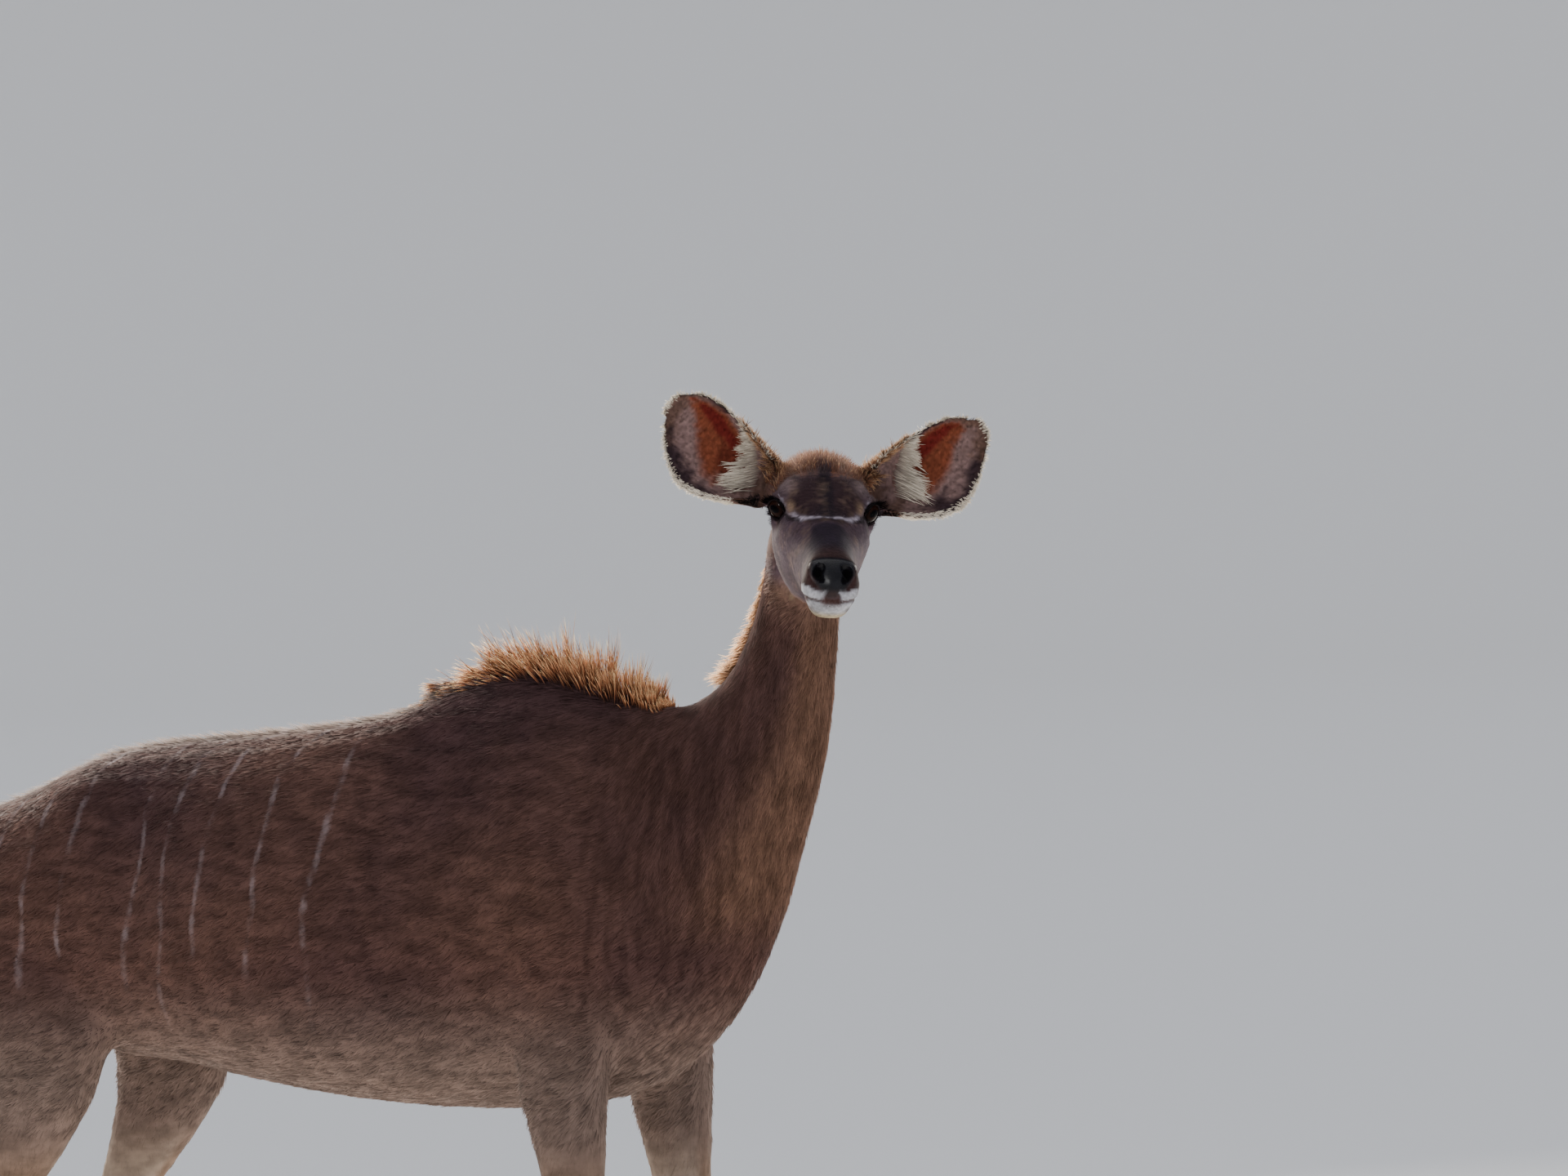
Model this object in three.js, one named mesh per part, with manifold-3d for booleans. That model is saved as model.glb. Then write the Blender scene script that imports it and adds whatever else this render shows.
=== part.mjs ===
// A greater kudu cow at life size, standing still with her neck raised and her head turned to her right.
// Millimetres: +X towards her chest, +Y to her left, +Z up, with the soles of her hooves on z = 0.
import * as THREE from "three";
import { mergeVertices } from "three/addons/utils/BufferGeometryUtils.js";
import Module from "manifold-3d";

const wasm = await Module();
wasm.setup();

// Driving sizes of the animal
const GAP = 0.3; // what touching nodes keep between them
const HEAD_AT = [786, -17, 1455]; // the middle of the back of the skull
const HEAD_TURN = -51.2; // degrees from straight ahead, to her right
const HEAD_DROP = 17.3; // degrees that the nose points below level
const HEAD_ROLL = -5; // degrees that the head leans over to her left
const HEAD_SIZE = 0.93; // the sizes of the head below are multiplied by this
const EYE_RADIUS = 19;
const EYE_AT = [112, 51, 17]; // in the head's frame, out to either side
const LID = 3.4; // thickness of an eyelid
const EAR_LENGTH = 184;
const EAR_AT = [22, 54, 10]; // root of an ear in the head's frame, out to either side
// From the root of each ear to its tip; she holds the left one a little further forward
const EAR_AXES = { right: [-0.54, 0.71, 0.46], left: [-0.33, 0.83, 0.45] };
const EAR_THICK = 5;
const FORE_CUT = 706; // height at which a foreleg leaves the chest
const HIND_CUT = 762; // height at which a hind leg leaves the thigh
const KNEE_CUT = 398;
const HOCK_CUT = 505;
const HOOF_TOP = 44; // height of the hoof's front edge
const HOOF_BACK = 26; // height of the hoof's edge at the heel
const CLAW_LENGTH = 84;
const CLAW_WIDTH = 29;
const MANE = { locks: 34, width: 19, thick: 6, curl: 0.35, depth: 14 }; // locks over the withers
const FRINGE = { locks: 20, width: 15, thick: 5, curl: 0.4, depth: 10 }; // locks down the nape
const STRIDE = { fore: 22, hind: 34 }; // how far the left foot stands ahead of the right one
// Moves the animal so that the middle of its outline stands on the origin
const STANCE = [-168, 33, 0];

const HIDE = new THREE.MeshStandardMaterial({ color: 0x6f6258, roughness: 0.9, metalness: 0 });
const HORN = new THREE.MeshStandardMaterial({ color: 0x1d1a18, roughness: 0.45, metalness: 0 });
const EYE = new THREE.MeshStandardMaterial({ color: 0x120c0a, roughness: 0.05, metalness: 0 });

const vector = (p) => new THREE.Vector3(...p);
const radians = THREE.MathUtils.degToRad;

// A closed BufferGeometry as a solid.
function solid(geometry, matrix) {
  const g = geometry.clone();
  g.deleteAttribute("normal");
  g.deleteAttribute("uv");
  if (matrix) g.applyMatrix4(matrix);
  const merged = mergeVertices(g, 1e-3);
  return new wasm.Manifold(
    new wasm.Mesh({
      numProp: 3,
      vertProperties: merged.attributes.position.array,
      triVerts: new Uint32Array(merged.index.array),
    }),
  );
}

const joined = (pieces) => pieces.reduce((all, piece) => all.add(piece));

// The largest closed body of a solid, so that loose scraps are dropped.
const largest = (made) =>
  made.decompose().reduce((best, piece) => (piece.volume() > best.volume() ? piece : best));

// Draws together the ends of edges that a cut has left shorter than the given length, where the surface stays
// whole: the ends may share no more than the two points beside the edge.
function welded(points, faces, shortest) {
  const around = points.map(() => new Set());
  faces.forEach((face, i) => face.forEach((v) => around[v].add(i)));
  const neighbours = (v) => new Set([...around[v]].flatMap((i) => faces[i]).filter((w) => w !== v));
  for (let pass = 0; pass < 3; pass++)
    for (let i = 0; i < faces.length; i++)
      for (let j = 0; faces[i] && j < 3; j++) {
        const [keep, drop] = [faces[i][j], faces[i][(j + 1) % 3]];
        if (points[keep].distanceTo(points[drop]) > shortest) continue;
        const beside = neighbours(keep);
        if ([...neighbours(drop)].filter((v) => beside.has(v)).length !== 2) continue;
        for (const k of [...around[drop]]) {
          if (faces[k].includes(keep)) {
            faces[k].forEach((v) => around[v].delete(k));
            faces[k] = null;
          } else {
            faces[k] = faces[k].map((v) => (v === drop ? keep : v));
            around[keep].add(k);
          }
        }
        around[drop].clear();
      }
  return faces.filter((face) => face);
}

// A solid as a mesh node.
function node(name, made, material) {
  const { vertProperties, triVerts, numProp } = made.getMesh();
  const points = [];
  for (let i = 0; i < vertProperties.length; i += numProp)
    points.push(new THREE.Vector3(...vertProperties.subarray(i, i + 3)));
  const faces = [];
  for (let i = 0; i < triVerts.length; i += 3) faces.push([...triVerts.subarray(i, i + 3)]);
  const geometry = new THREE.BufferGeometry().setFromPoints(points);
  geometry.setIndex(welded(points, faces, 0.25).flat());
  geometry.computeVertexNormals();
  const mesh = new THREE.Mesh(geometry, material);
  mesh.name = name;
  return mesh;
}

// Everything on the side of a plane that its normal points to, as a box far larger than the animal.
function beyond(point, normal) {
  const size = 6000;
  const box = new THREE.BoxGeometry(size, size, size);
  box.translate(0, 0, size / 2);
  const turn = new THREE.Quaternion().setFromUnitVectors(
    new THREE.Vector3(0, 0, 1),
    vector(normal).normalize(),
  );
  const matrix = new THREE.Matrix4().compose(vector(point), turn, new THREE.Vector3(1, 1, 1));
  return solid(box, matrix);
}

// A solid parted by a plane, with the touching gap between its two sides: [ahead of it, behind it].
function split(made, point, normal) {
  const n = vector(normal).normalize();
  const ahead = vector(point).addScaledVector(n, GAP / 2).toArray();
  const behind = vector(point).addScaledVector(n, -GAP / 2).toArray();
  return [
    made.intersect(beyond(ahead, n.toArray())),
    made.intersect(beyond(behind, n.clone().negate().toArray())),
  ];
}

const signedPower = (value, power) => Math.sign(value) * Math.abs(value) ** power;

// A closed surface through rings of equally many points, with a fan over each end. The rings run round
// anticlockwise as seen from the far end.
function skinned(rings) {
  const around = rings[0].length;
  const last = rings.length - 1;
  const positions = rings.flatMap((ring) => ring.flatMap((p) => p.toArray()));
  for (const ring of [rings[0], rings[last]]) {
    const middle = ring.reduce((sum, p) => sum.add(p), new THREE.Vector3()).divideScalar(around);
    positions.push(...middle.toArray());
  }
  const index = [];
  const cap = rings.length * around;
  for (let j = 0; j < around; j++) {
    const k = (j + 1) % around;
    for (let i = 0; i < last; i++) {
      const [a, b] = [i * around, (i + 1) * around];
      index.push(a + j, a + k, b + k, a + j, b + k, b + j);
    }
    index.push(cap, k, j, cap + 1, last * around + j, last * around + k);
  }
  return new THREE.BufferGeometry()
    .setAttribute("position", new THREE.Float32BufferAttribute(positions, 3))
    .setIndex(index);
}

// Reads rows of numbers as smooth curves: the result gives the whole row at a place from 0 to 1 along them.
function smoothRows(rows) {
  const curves = [];
  for (let i = 0; i < rows[0].length; i += 3) {
    const points = rows.map((row) => new THREE.Vector3(row[i], row[i + 1] ?? 0, row[i + 2] ?? 0));
    curves.push(new THREE.CatmullRomCurve3(points, false, "catmullrom"));
  }
  return (t) => curves.flatMap((curve) => curve.getPoint(t).toArray());
}

// An oval ring. up and left are its axes; the reaches are its sizes above, below and to each side; the
// roundness of its upper and lower half is 2 for an ellipse, less for a pinched shape, more for a boxy one.
function oval(centre, up, left, half, above, below, [upper, lower] = [2, 2], around = 16) {
  const ring = [];
  for (let j = 0; j < around; j++) {
    const angle = (j / around) * 2 * Math.PI;
    const c = Math.cos(angle);
    const power = 2 / (c > 0 ? upper : lower);
    const rise = signedPower(c, power) * (c > 0 ? above : below);
    const span = signedPower(Math.sin(angle), power) * half;
    ring.push(centre.clone().addScaledVector(up, rise).addScaledVector(left, span));
  }
  return ring;
}

// A tube of oval rings square to a smooth curve. A row is [x, y, z of the centre, half width, reach ahead,
// reach behind]; ahead gives the direction of the reach ahead.
function limb(rows, ahead = [1, 0, 0], around = 12, steps = 1.35, roundness = [2.2, 2]) {
  const at = smoothRows(rows);
  const count = Math.round((rows.length - 1) * steps);
  const centre = (t) => new THREE.Vector3(...at(Math.min(1, Math.max(0, t))).slice(0, 3));
  const rings = [];
  for (let i = 0; i <= count; i++) {
    const t = i / count;
    const [, , , half, front, back] = at(t);
    const along = centre(t + 0.004).sub(centre(t - 0.004)).normalize();
    const up = vector(ahead);
    up.addScaledVector(along, -up.dot(along)).normalize();
    const left = new THREE.Vector3().crossVectors(along, up);
    rings.push(oval(centre(t), up, left, half, front, back, roundness, around));
  }
  return skinned(rings);
}

// Pushes a point outwards around given places, each of them on both sides of the animal. A row is
// [x, y, z of the place, how far it spreads in x, y, z, how far it pushes in x, y, z].
function swollen([x, y, z], rows) {
  const pushed = [x, y, z];
  for (const [cx, cy, cz, rx, ry, rz, dx, dy, dz] of rows)
    for (const side of cy ? [-1, 1] : [1]) {
      const off = ((x - cx) / rx) ** 2 + ((y - side * cy) / ry) ** 2 + ((z - cz) / rz) ** 2;
      const share = Math.exp(-off);
      pushed[0] += share * dx;
      pushed[1] += share * dy * side;
      pushed[2] += share * dz;
    }
  return pushed;
}

function swell(geometry, rows) {
  const p = geometry.attributes.position;
  for (let i = 0; i < p.count; i++) p.setXYZ(i, ...swollen([p.getX(i), p.getY(i), p.getZ(i)], rows));
  return geometry;
}

// The same surface on the other side of the animal.
function mirrored(geometry) {
  const g = geometry.clone().scale(1, -1, 1);
  const index = g.index.array;
  for (let i = 0; i < index.length; i += 3) [index[i], index[i + 1]] = [index[i + 1], index[i]];
  return g;
}

const ball = (centre, radii, across = 18, up = 12) =>
  new THREE.SphereGeometry(1, across, up).scale(...radii).translate(...centre);

// The trunk and neck as one form, from the buttocks to inside the skull. A row is
// [x, z of the back line, x, z of the underline, share of the way down at which it is widest, half width,
// roundness above, roundness below, turn of the ring to her right, y of its middle].
const BODY = [
  [-594, 1026, -590, 980, 0.5, 26, 2, 2, 0, 0],
  [-583, 1060, -580, 922, 0.5, 76, 2, 2, 0, 0],
  [-538, 1085, -546, 866, 0.5, 114, 2, 2, 0, 0],
  [-447, 1114, -458, 824, 0.5, 141, 2, 2, 0, 0],
  [-352, 1151, -356, 794, 0.5, 153, 2, 2.1, 0, 0],
  [-285, 1164, -292, 776, 0.52, 160, 2.1, 2.2, 0, 0],
  [-205, 1173, -212, 762, 0.52, 166, 2.1, 2.2, 0, 0],
  [-70, 1181, -70, 737, 0.54, 182, 2.15, 2.2, 0, 0],
  [60, 1192, 60, 720, 0.55, 188, 2.05, 2.15, 0, 0],
  [150, 1209, 160, 712, 0.57, 178, 1.8, 2.1, 0, 0],
  [216, 1236, 240, 710, 0.6, 162, 1.55, 2.05, 0, 0],
  [292, 1254, 330, 711, 0.61, 148, 1.45, 2.15, 0, 0],
  [368, 1248, 425, 720, 0.6, 138, 1.5, 2.2, 0, 0],
  [438, 1232, 520, 748, 0.58, 128, 1.6, 2.1, 0, 0],
  [492, 1217, 600, 804, 0.56, 116, 1.7, 1.9, 0, 0],
  [532, 1210, 654, 872, 0.54, 104, 1.8, 1.9, 0, 0],
  [562, 1208, 690, 944, 0.53, 94, 1.85, 1.95, 0, 0],
  [588, 1212, 716, 1008, 0.52, 83, 1.85, 2, 0, 0],
  [610, 1222, 740, 1066, 0.51, 74, 1.85, 2, 3, 0],
  [632, 1241, 761, 1120, 0.5, 66, 1.85, 2, 7, 0],
  [652, 1270, 777, 1170, 0.5, 59, 1.85, 2, 13, -1],
  [670, 1304, 789, 1220, 0.5, 54, 1.85, 2, 21, -3],
  [686, 1340, 800, 1268, 0.5, 51, 1.85, 2, 31, -7],
  [700, 1376, 810, 1314, 0.5, 50, 1.85, 2, 40, -12],
  [716, 1414, 820, 1358, 0.5, 50, 1.9, 2, 47, -18],
  [736, 1450, 828, 1398, 0.5, 47, 2, 2, 51, -24],
  [766, 1478, 832, 1430, 0.5, 34, 2, 2, 51, -28],
];

// Muscles and bones that show under the skin of the trunk, for swell.
const MUSCLES = [
  [352, 90, 1150, 60, 70, 60, 0, 12, 0], // top of the shoulder blade
  [408, 110, 1060, 62, 70, 80, 0, 17, 0], // shoulder blade
  [470, 115, 960, 62, 70, 80, 0, 18, 0],
  [556, 100, 905, 52, 60, 56, 5, 15, 0], // point of the shoulder
  [446, 120, 830, 80, 70, 90, 0, 20, 0], // upper arm
  [250, 150, 1060, 70, 70, 100, 0, -8, 0], // hollow behind the shoulder
  [560, 80, 1060, 46, 60, 70, 0, -9, 0], // hollow ahead of the shoulder
  [-302, 120, 1118, 46, 60, 42, 0, 13, 4], // hip bone
  [-385, 140, 930, 120, 70, 130, 0, 16, 0], // thigh
  [-520, 70, 1046, 46, 60, 44, -8, 10, 0], // seat bone
  [-180, 165, 1010, 62, 70, 84, 0, -15, 0], // hollow of the flank
  [-60, 180, 860, 190, 80, 90, 0, 6, 0], // belly
  [-250, 120, 800, 60, 60, 50, 0, 10, -6], // fold of the flank
  [-330, 0, 790, 70, 60, 40, 0, 0, -16], // udder
];

function body() {
  const at = smoothRows(BODY);
  const count = Math.round((BODY.length - 1) * 1.6);
  const rings = [];
  for (let i = 0; i <= count; i++) {
    const [tx, tz, bx, bz, widest, half, upper, lower, turned, y] = at(i / count);
    const turn = radians(-turned);
    const middle = new THREE.Vector3((tx + bx) / 2, y, (tz + bz) / 2);
    const arm = new THREE.Vector3((tx - bx) / 2, 0, (tz - bz) / 2);
    const length = arm.length() * 2;
    const up = arm.applyAxisAngle(new THREE.Vector3(0, 0, 1), turn).normalize();
    const left = new THREE.Vector3(-Math.sin(turn), Math.cos(turn), 0);
    const centre = middle.addScaledVector(up, length * (0.5 - widest));
    rings.push(
      oval(centre, up, left, half, length * widest, length * (1 - widest), [upper, lower], 28).reverse(),
    );
  }
  return swell(skinned(rings), MUSCLES);
}

// A foreleg from inside the chest to inside the hoof. ahead moves the foot forward.
function foreleg(side, ahead) {
  const rows = [
    [470, 84, 930, 22, 44, 50],
    [458, 96, 870, 34, 60, 70],
    [449, 102, 800, 41, 62, 80],
    [446, 104, 735, 43, 56, 70],
    [449, 104, 660, 38, 45, 47],
    [453, 102, 570, 31, 36, 33],
    [457, 99, 490, 26, 29, 27],
    [460, 97, 438, 28.5, 31, 30],
    [463, 96, 398, 29, 31, 32],
    [461, 95, 352, 23, 23, 26],
    [459, 94, 285, 18, 18, 21],
    [459, 93, 205, 17, 17.5, 21],
    [461, 93, 155, 21, 20, 25],
    [466, 93, 122, 24.5, 22, 28],
    [479, 93, 86, 21, 21, 23],
    [491, 93, 58, 26, 26, 27],
    [498, 93, 30, 28, 31, 29],
    [499, 93, 14, 22, 24, 22],
  ];
  return limb(
    rows.map(([x, y, z, ...sizes]) => [x + ahead * Math.min(1, (930 - z) / 930), side * y, z, ...sizes]),
  );
}

// A hind leg from inside the pelvis to inside the hoof.
function hindleg(side, ahead) {
  const rows = [
    [-420, 70, 1040, 52, 92, 92],
    [-404, 94, 960, 62, 126, 126],
    [-384, 111, 880, 62, 132, 130],
    [-369, 122, 800, 54, 116, 108],
    [-384, 124, 725, 43, 82, 80],
    [-420, 120, 648, 33, 52, 58],
    [-455, 114, 585, 26, 37, 44],
    [-482, 110, 538, 26, 34, 48],
    [-492, 108, 500, 27, 36, 42],
    [-491, 107, 452, 23, 29, 29],
    [-486, 106, 385, 18.5, 21, 23],
    [-481, 106, 290, 17, 19, 22],
    [-475, 106, 190, 18, 19, 22],
    [-470, 106, 152, 22, 21, 26],
    [-464, 106, 120, 24.5, 22, 28],
    [-451, 106, 86, 21, 21, 23],
    [-439, 106, 58, 26, 26, 27],
    [-432, 106, 30, 28, 31, 29],
    [-431, 106, 14, 22, 24, 22],
  ];
  return limb(
    rows.map(([x, y, z, ...sizes]) => [x + ahead * Math.min(1, (1040 - z) / 1040), side * y, z, ...sizes]),
  );
}

// The two small dewclaws behind a fetlock.
const dewclaws = (x, y, z) =>
  [-1, 1].map((side) =>
    limb(
      [
        [x - 14, y + side * 9, z + 14, 8, 7, 7],
        [x - 28, y + side * 13, z + 3, 8, 7, 7],
        [x - 36, y + side * 14, z - 12, 4.5, 4, 4],
      ],
      [1, 0, 0],
      8,
    ),
  );

// One claw of a cloven hoof, as rings from the sole up, taller than it ends up after its top is cut.
function claw(x, y, side) {
  const rows = [
    [0, 0.97, 0],
    [4, 1, 0.5],
    [22, 0.94, 5],
    [40, 0.86, 10],
    [58, 0.78, 16],
  ];
  return skinned(
    rows.map(([height, size, back]) => {
      const ring = [];
      for (let j = 0; j < 14; j++) {
        const angle = (j / 14) * 2 * Math.PI;
        const toe = Math.cos(angle);
        const across = signedPower(Math.sin(angle), 0.8);
        const taper = 1 - 0.36 * Math.max(0, toe) ** 1.6;
        const inwards = Math.max(0, toe) ** 2 * 0.16 * CLAW_WIDTH; // the toes of a pair lean together
        ring.push(
          new THREE.Vector3(
            x + 4 - back + signedPower(toe, 0.85) * CLAW_LENGTH * (toe > 0 ? 0.58 : 0.42) * size,
            y +
              side * (CLAW_WIDTH / 2 + 1.4 - inwards) +
              across * (CLAW_WIDTH / 2) * taper * (size - 0.02),
            height,
          ),
        );
      }
      return ring;
    }),
  );
}

// The tail, from inside the rump to the end of its bone and tuft.
const tail = () =>
  limb(
    [
      [-530, 0, 1052, 26, 18, 24],
      [-578, 0, 1046, 25, 16, 22],
      [-613, 0, 1020, 22, 15, 17],
      [-630, 0, 970, 20, 12, 14],
      [-636, 0, 910, 18, 11, 12],
      [-637, 0, 820, 17, 10, 12],
      [-635, 0, 750, 19, 11, 14],
      [-631, 0, 692, 16, 10, 14],
      [-628, 0, 656, 7, 5, 7],
      [-627, 0, 640, 2, 2, 2],
    ],
    [1, 0, 0.2],
    12,
  );

// The head's frame: x from the back of the skull to the nose, y to her left, z to the top of the head.
function headFrame() {
  const turn = radians(HEAD_TURN);
  const drop = radians(HEAD_DROP);
  const nose = new THREE.Vector3(
    Math.cos(turn) * Math.cos(drop),
    Math.sin(turn) * Math.cos(drop),
    -Math.sin(drop),
  );
  const left = new THREE.Vector3(-Math.sin(turn), Math.cos(turn), 0);
  left.applyAxisAngle(nose, radians(HEAD_ROLL));
  const top = new THREE.Vector3().crossVectors(nose, left);
  const frame = new THREE.Matrix4().makeBasis(nose, left, top).setPosition(...HEAD_AT);
  return frame.scale(new THREE.Vector3(HEAD_SIZE, HEAD_SIZE, HEAD_SIZE));
}

// The skull with its flesh. A row is
// [x, top, underside, height of the widest part, half width, roundness above, roundness below].
const SKULL = [
  [-32, 2, -34, -14, 18, 2, 2],
  [-16, 32, -72, -14, 44, 2, 2],
  [14, 49, -103, -10, 55, 2.1, 2],
  [48, 57, -120, -7, 60, 2.2, 2],
  [84, 58, -122, -5, 62, 2.3, 2],
  [118, 51, -114, -6, 61, 2.3, 2],
  [150, 41, -102, -11, 56, 2.1, 2],
  [185, 32, -89, -17, 47, 2, 2],
  [220, 27, -79, -22, 40, 2.1, 2.1],
  [255, 24, -71, -24, 35, 2.2, 2.2],
  [285, 21, -66, -26, 34, 2.3, 2.3],
  [308, 15, -61, -27, 33, 2.3, 2.3],
  [323, 5, -54, -28, 28, 2.2, 2.2],
  [334, -9, -44, -28, 18, 2, 2],
  [338, -20, -36, -28, 6, 2, 2],
];

// Bones and muscles that show on the head, for swell.
const FEATURES = [
  [112, 58, 16, 34, 26, 26, 0, 9, 0], // rim of the eye socket
  [98, 50, 42, 30, 22, 14, 0, 4, 6], // brow
  [142, 46, -14, 34, 22, 14, 0, 5, -1], // cheekbone
  [80, 56, -54, 44, 30, 36, 0, 4, 0], // jaw muscle
  [60, 30, -112, 40, 24, 20, 0, 3, -4], // corner of the jaw
  [186, 38, -56, 40, 20, 20, 0, -2, 0], // hollow of the cheek
  [200, 30, 14, 40, 16, 14, 0, -2, -3], // hollow beside the nasal bone
  [312, 27, 4, 20, 14, 15, 3, 7, 4], // wing of the nostril
  [300, 30, -26, 30, 16, 14, 1, 6, -1], // upper lip
  [324, 0, -14, 14, 12, 16, 5, 0, 2], // pad between the nostrils
  [296, 16, -62, 26, 22, 12, 4, 3, -5], // chin
  [20, 54, 12, 26, 22, 24, 0, 10, 2], // root of the ear
  [10, 0, 52, 40, 34, 20, 0, 0, 5], // crown
  [112, 0, 52, 26, 16, 20, 0, 0, -4], // dip between the eyes
];

function skull() {
  const at = smoothRows(SKULL);
  const count = 30;
  const rings = [];
  for (let i = 0; i <= count; i++) {
    // closer rings towards the muzzle
    const [x, top, under, widest, half, upper, lower] = at((i / count) ** 0.9);
    const centre = new THREE.Vector3(x, 0, widest);
    const up = new THREE.Vector3(0, 0, 1);
    const left = new THREE.Vector3(0, 1, 0);
    rings.push(oval(centre, up, left, half, top - widest, widest - under, [upper, lower], 26).reverse());
  }
  return swell(skinned(rings), FEATURES);
}

// The point of the skin at the given length and height, on one side of the head.
function onSkull(x, z, side) {
  const at = smoothRows(SKULL);
  let [low, high] = [0, 1];
  for (let i = 0; i < 24; i++) {
    const middle = (low + high) / 2;
    if (at(middle)[0] < x) low = middle;
    else high = middle;
  }
  const [, top, under, widest, half, upper, lower] = at(low);
  const [reach, power] = z > widest ? [top - widest, upper] : [widest - under, lower];
  const share = Math.min(1, Math.abs(z - widest) / reach);
  return swollen([x, side * half * (1 - share ** power) ** (1 / power), z], FEATURES);
}

// The groove between the lips, as a thin tube that follows the skin from corner to corner of the mouth.
function mouthLine() {
  const halfWay = [
    [228, -43, 1],
    [244, -46, 2],
    [262, -45, 2.4],
    [281, -42, 2.4],
    [299, -39, 2.4],
    [315, -37, 2.4],
    [327, -36, 2.4],
    [334, -35, 2.4],
  ];
  const side = (hand) => halfWay.map(([x, z, r]) => [...onSkull(x, z, hand), r, r, r]);
  return limb([...side(-1), ...side(1).reverse()], [0, 0, 1], 6, 1, [2, 2]);
}

// The hollow of her right nostril, a slanting oval that runs back into the muzzle.
const nostril = () =>
  ball([0, 0, 0], [16, 6.5, 9], 12, 8)
    .rotateY(radians(36))
    .rotateX(radians(-24))
    .rotateZ(radians(-16))
    .translate(325, -20, 0);

// The slit between the lids of her right eye, as a prism that runs outwards from the middle of the eye.
function lidOpening() {
  const gaze = new THREE.Vector3(0.56, -0.82, 0.08).normalize();
  const along = new THREE.Vector3(0.82, 0.57, -0.3);
  along.addScaledVector(gaze, -along.dot(gaze)).normalize();
  const up = new THREE.Vector3().crossVectors(gaze, along);
  const shape = new THREE.Shape();
  shape.moveTo(-16, 2);
  shape.bezierCurveTo(-11, 15, 9, 15, 19, -3);
  shape.bezierCurveTo(10, -10, -10, -10, -16, 2);
  const prism = new THREE.ExtrudeGeometry(shape, { depth: 40, bevelEnabled: false, curveSegments: 7 });
  const [x, y, z] = EYE_AT;
  const placed = new THREE.Matrix4().makeBasis(along, up, gaze).setPosition(x, -y, z);
  return mergeVertices(plain(prism).applyMatrix4(placed), 1e-3);
}

// An ear: a cupped leaf that rolls into a tube at its root. A row is
// [share of the length, half width towards the crown, half width towards the cheek, half angle of its roll].
const EAR_ROWS = [
  [0, 22, 30, 150],
  [0.08, 24, 38, 130],
  [0.2, 29, 53, 106],
  [0.35, 34, 68, 86],
  [0.5, 38, 74, 72],
  [0.65, 38, 67, 62],
  [0.8, 32, 49, 54],
  [0.91, 19, 32, 46],
  [0.98, 8, 17, 38],
  [1, 3, 8, 30],
];

// An ear as it would be on her right side, in the head's frame.
function ear([back, out, rise]) {
  const axis = new THREE.Vector3(back, -out, rise).normalize();
  const open = new THREE.Vector3(0.94, -0.16, 0.26);
  open.addScaledVector(axis, -open.dot(axis)).normalize();
  const crown = new THREE.Vector3().crossVectors(axis, open);
  const root = vector([EAR_AT[0], -EAR_AT[1], EAR_AT[2]]);
  const at = smoothRows(EAR_ROWS.map((r) => [...r, 0, 0]));
  const [long, wide] = [13, 10];
  const point = (i, v, thick) => {
    const [share, up, down, roll] = at(i / long);
    const angle = v * radians(roll);
    const mean = (up + down) / 2;
    const radius = mean / Math.sin(radians(Math.min(90, roll)));
    const r = radius + thick * (1 - 0.6 * v ** 4);
    const side = ((v > 0 ? up : down) / mean) * Math.sin(angle) * r;
    const bend = 14 * share ** 2;
    return root
      .clone()
      .addScaledVector(axis, share * EAR_LENGTH)
      .addScaledVector(crown, side)
      .addScaledVector(open, radius - Math.cos(angle) * r - 20 * (1 - share) ** 2 + bend);
  };
  const rings = [];
  for (let i = 0; i <= long; i++) {
    const ring = [];
    for (let j = 0; j <= wide; j++) ring.push(point(i, (j / wide) * 2 - 1, 0));
    for (let j = wide; j >= 0; j--) ring.push(point(i, (j / wide) * 2 - 1, EAR_THICK));
    rings.push(ring);
  }
  return sheetEnds(rings);
}

// Like skinned, for flat rings that are a strip folded on itself: the ends are closed strip by strip.
function sheetEnds(rings) {
  const around = rings[0].length;
  const last = rings.length - 1;
  const index = [];
  for (let i = 0; i < last; i++)
    for (let j = 0; j < around; j++) {
      const k = (j + 1) % around;
      const [a, b] = [i * around, (i + 1) * around];
      index.push(a + j, a + k, b + k, a + j, b + k, b + j);
    }
  for (let j = 0; j < around / 2 - 1; j++) {
    const [p, q] = [j, j + 1];
    const [r, s] = [around - 1 - j, around - 2 - j];
    const end = last * around;
    index.push(p, r, s, p, s, q, end + p, end + s, end + r, end + p, end + q, end + s);
  }
  return new THREE.BufferGeometry()
    .setAttribute(
      "position",
      new THREE.Float32BufferAttribute(rings.flatMap((ring) => ring.flatMap((p) => p.toArray())), 3),
    )
    .setIndex(index);
}

// A geometry with nothing but its places.
function plain(geometry) {
  const g = geometry.clone();
  for (const name of Object.keys(g.attributes)) if (name !== "position") g.deleteAttribute(name);
  return g;
}

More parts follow.
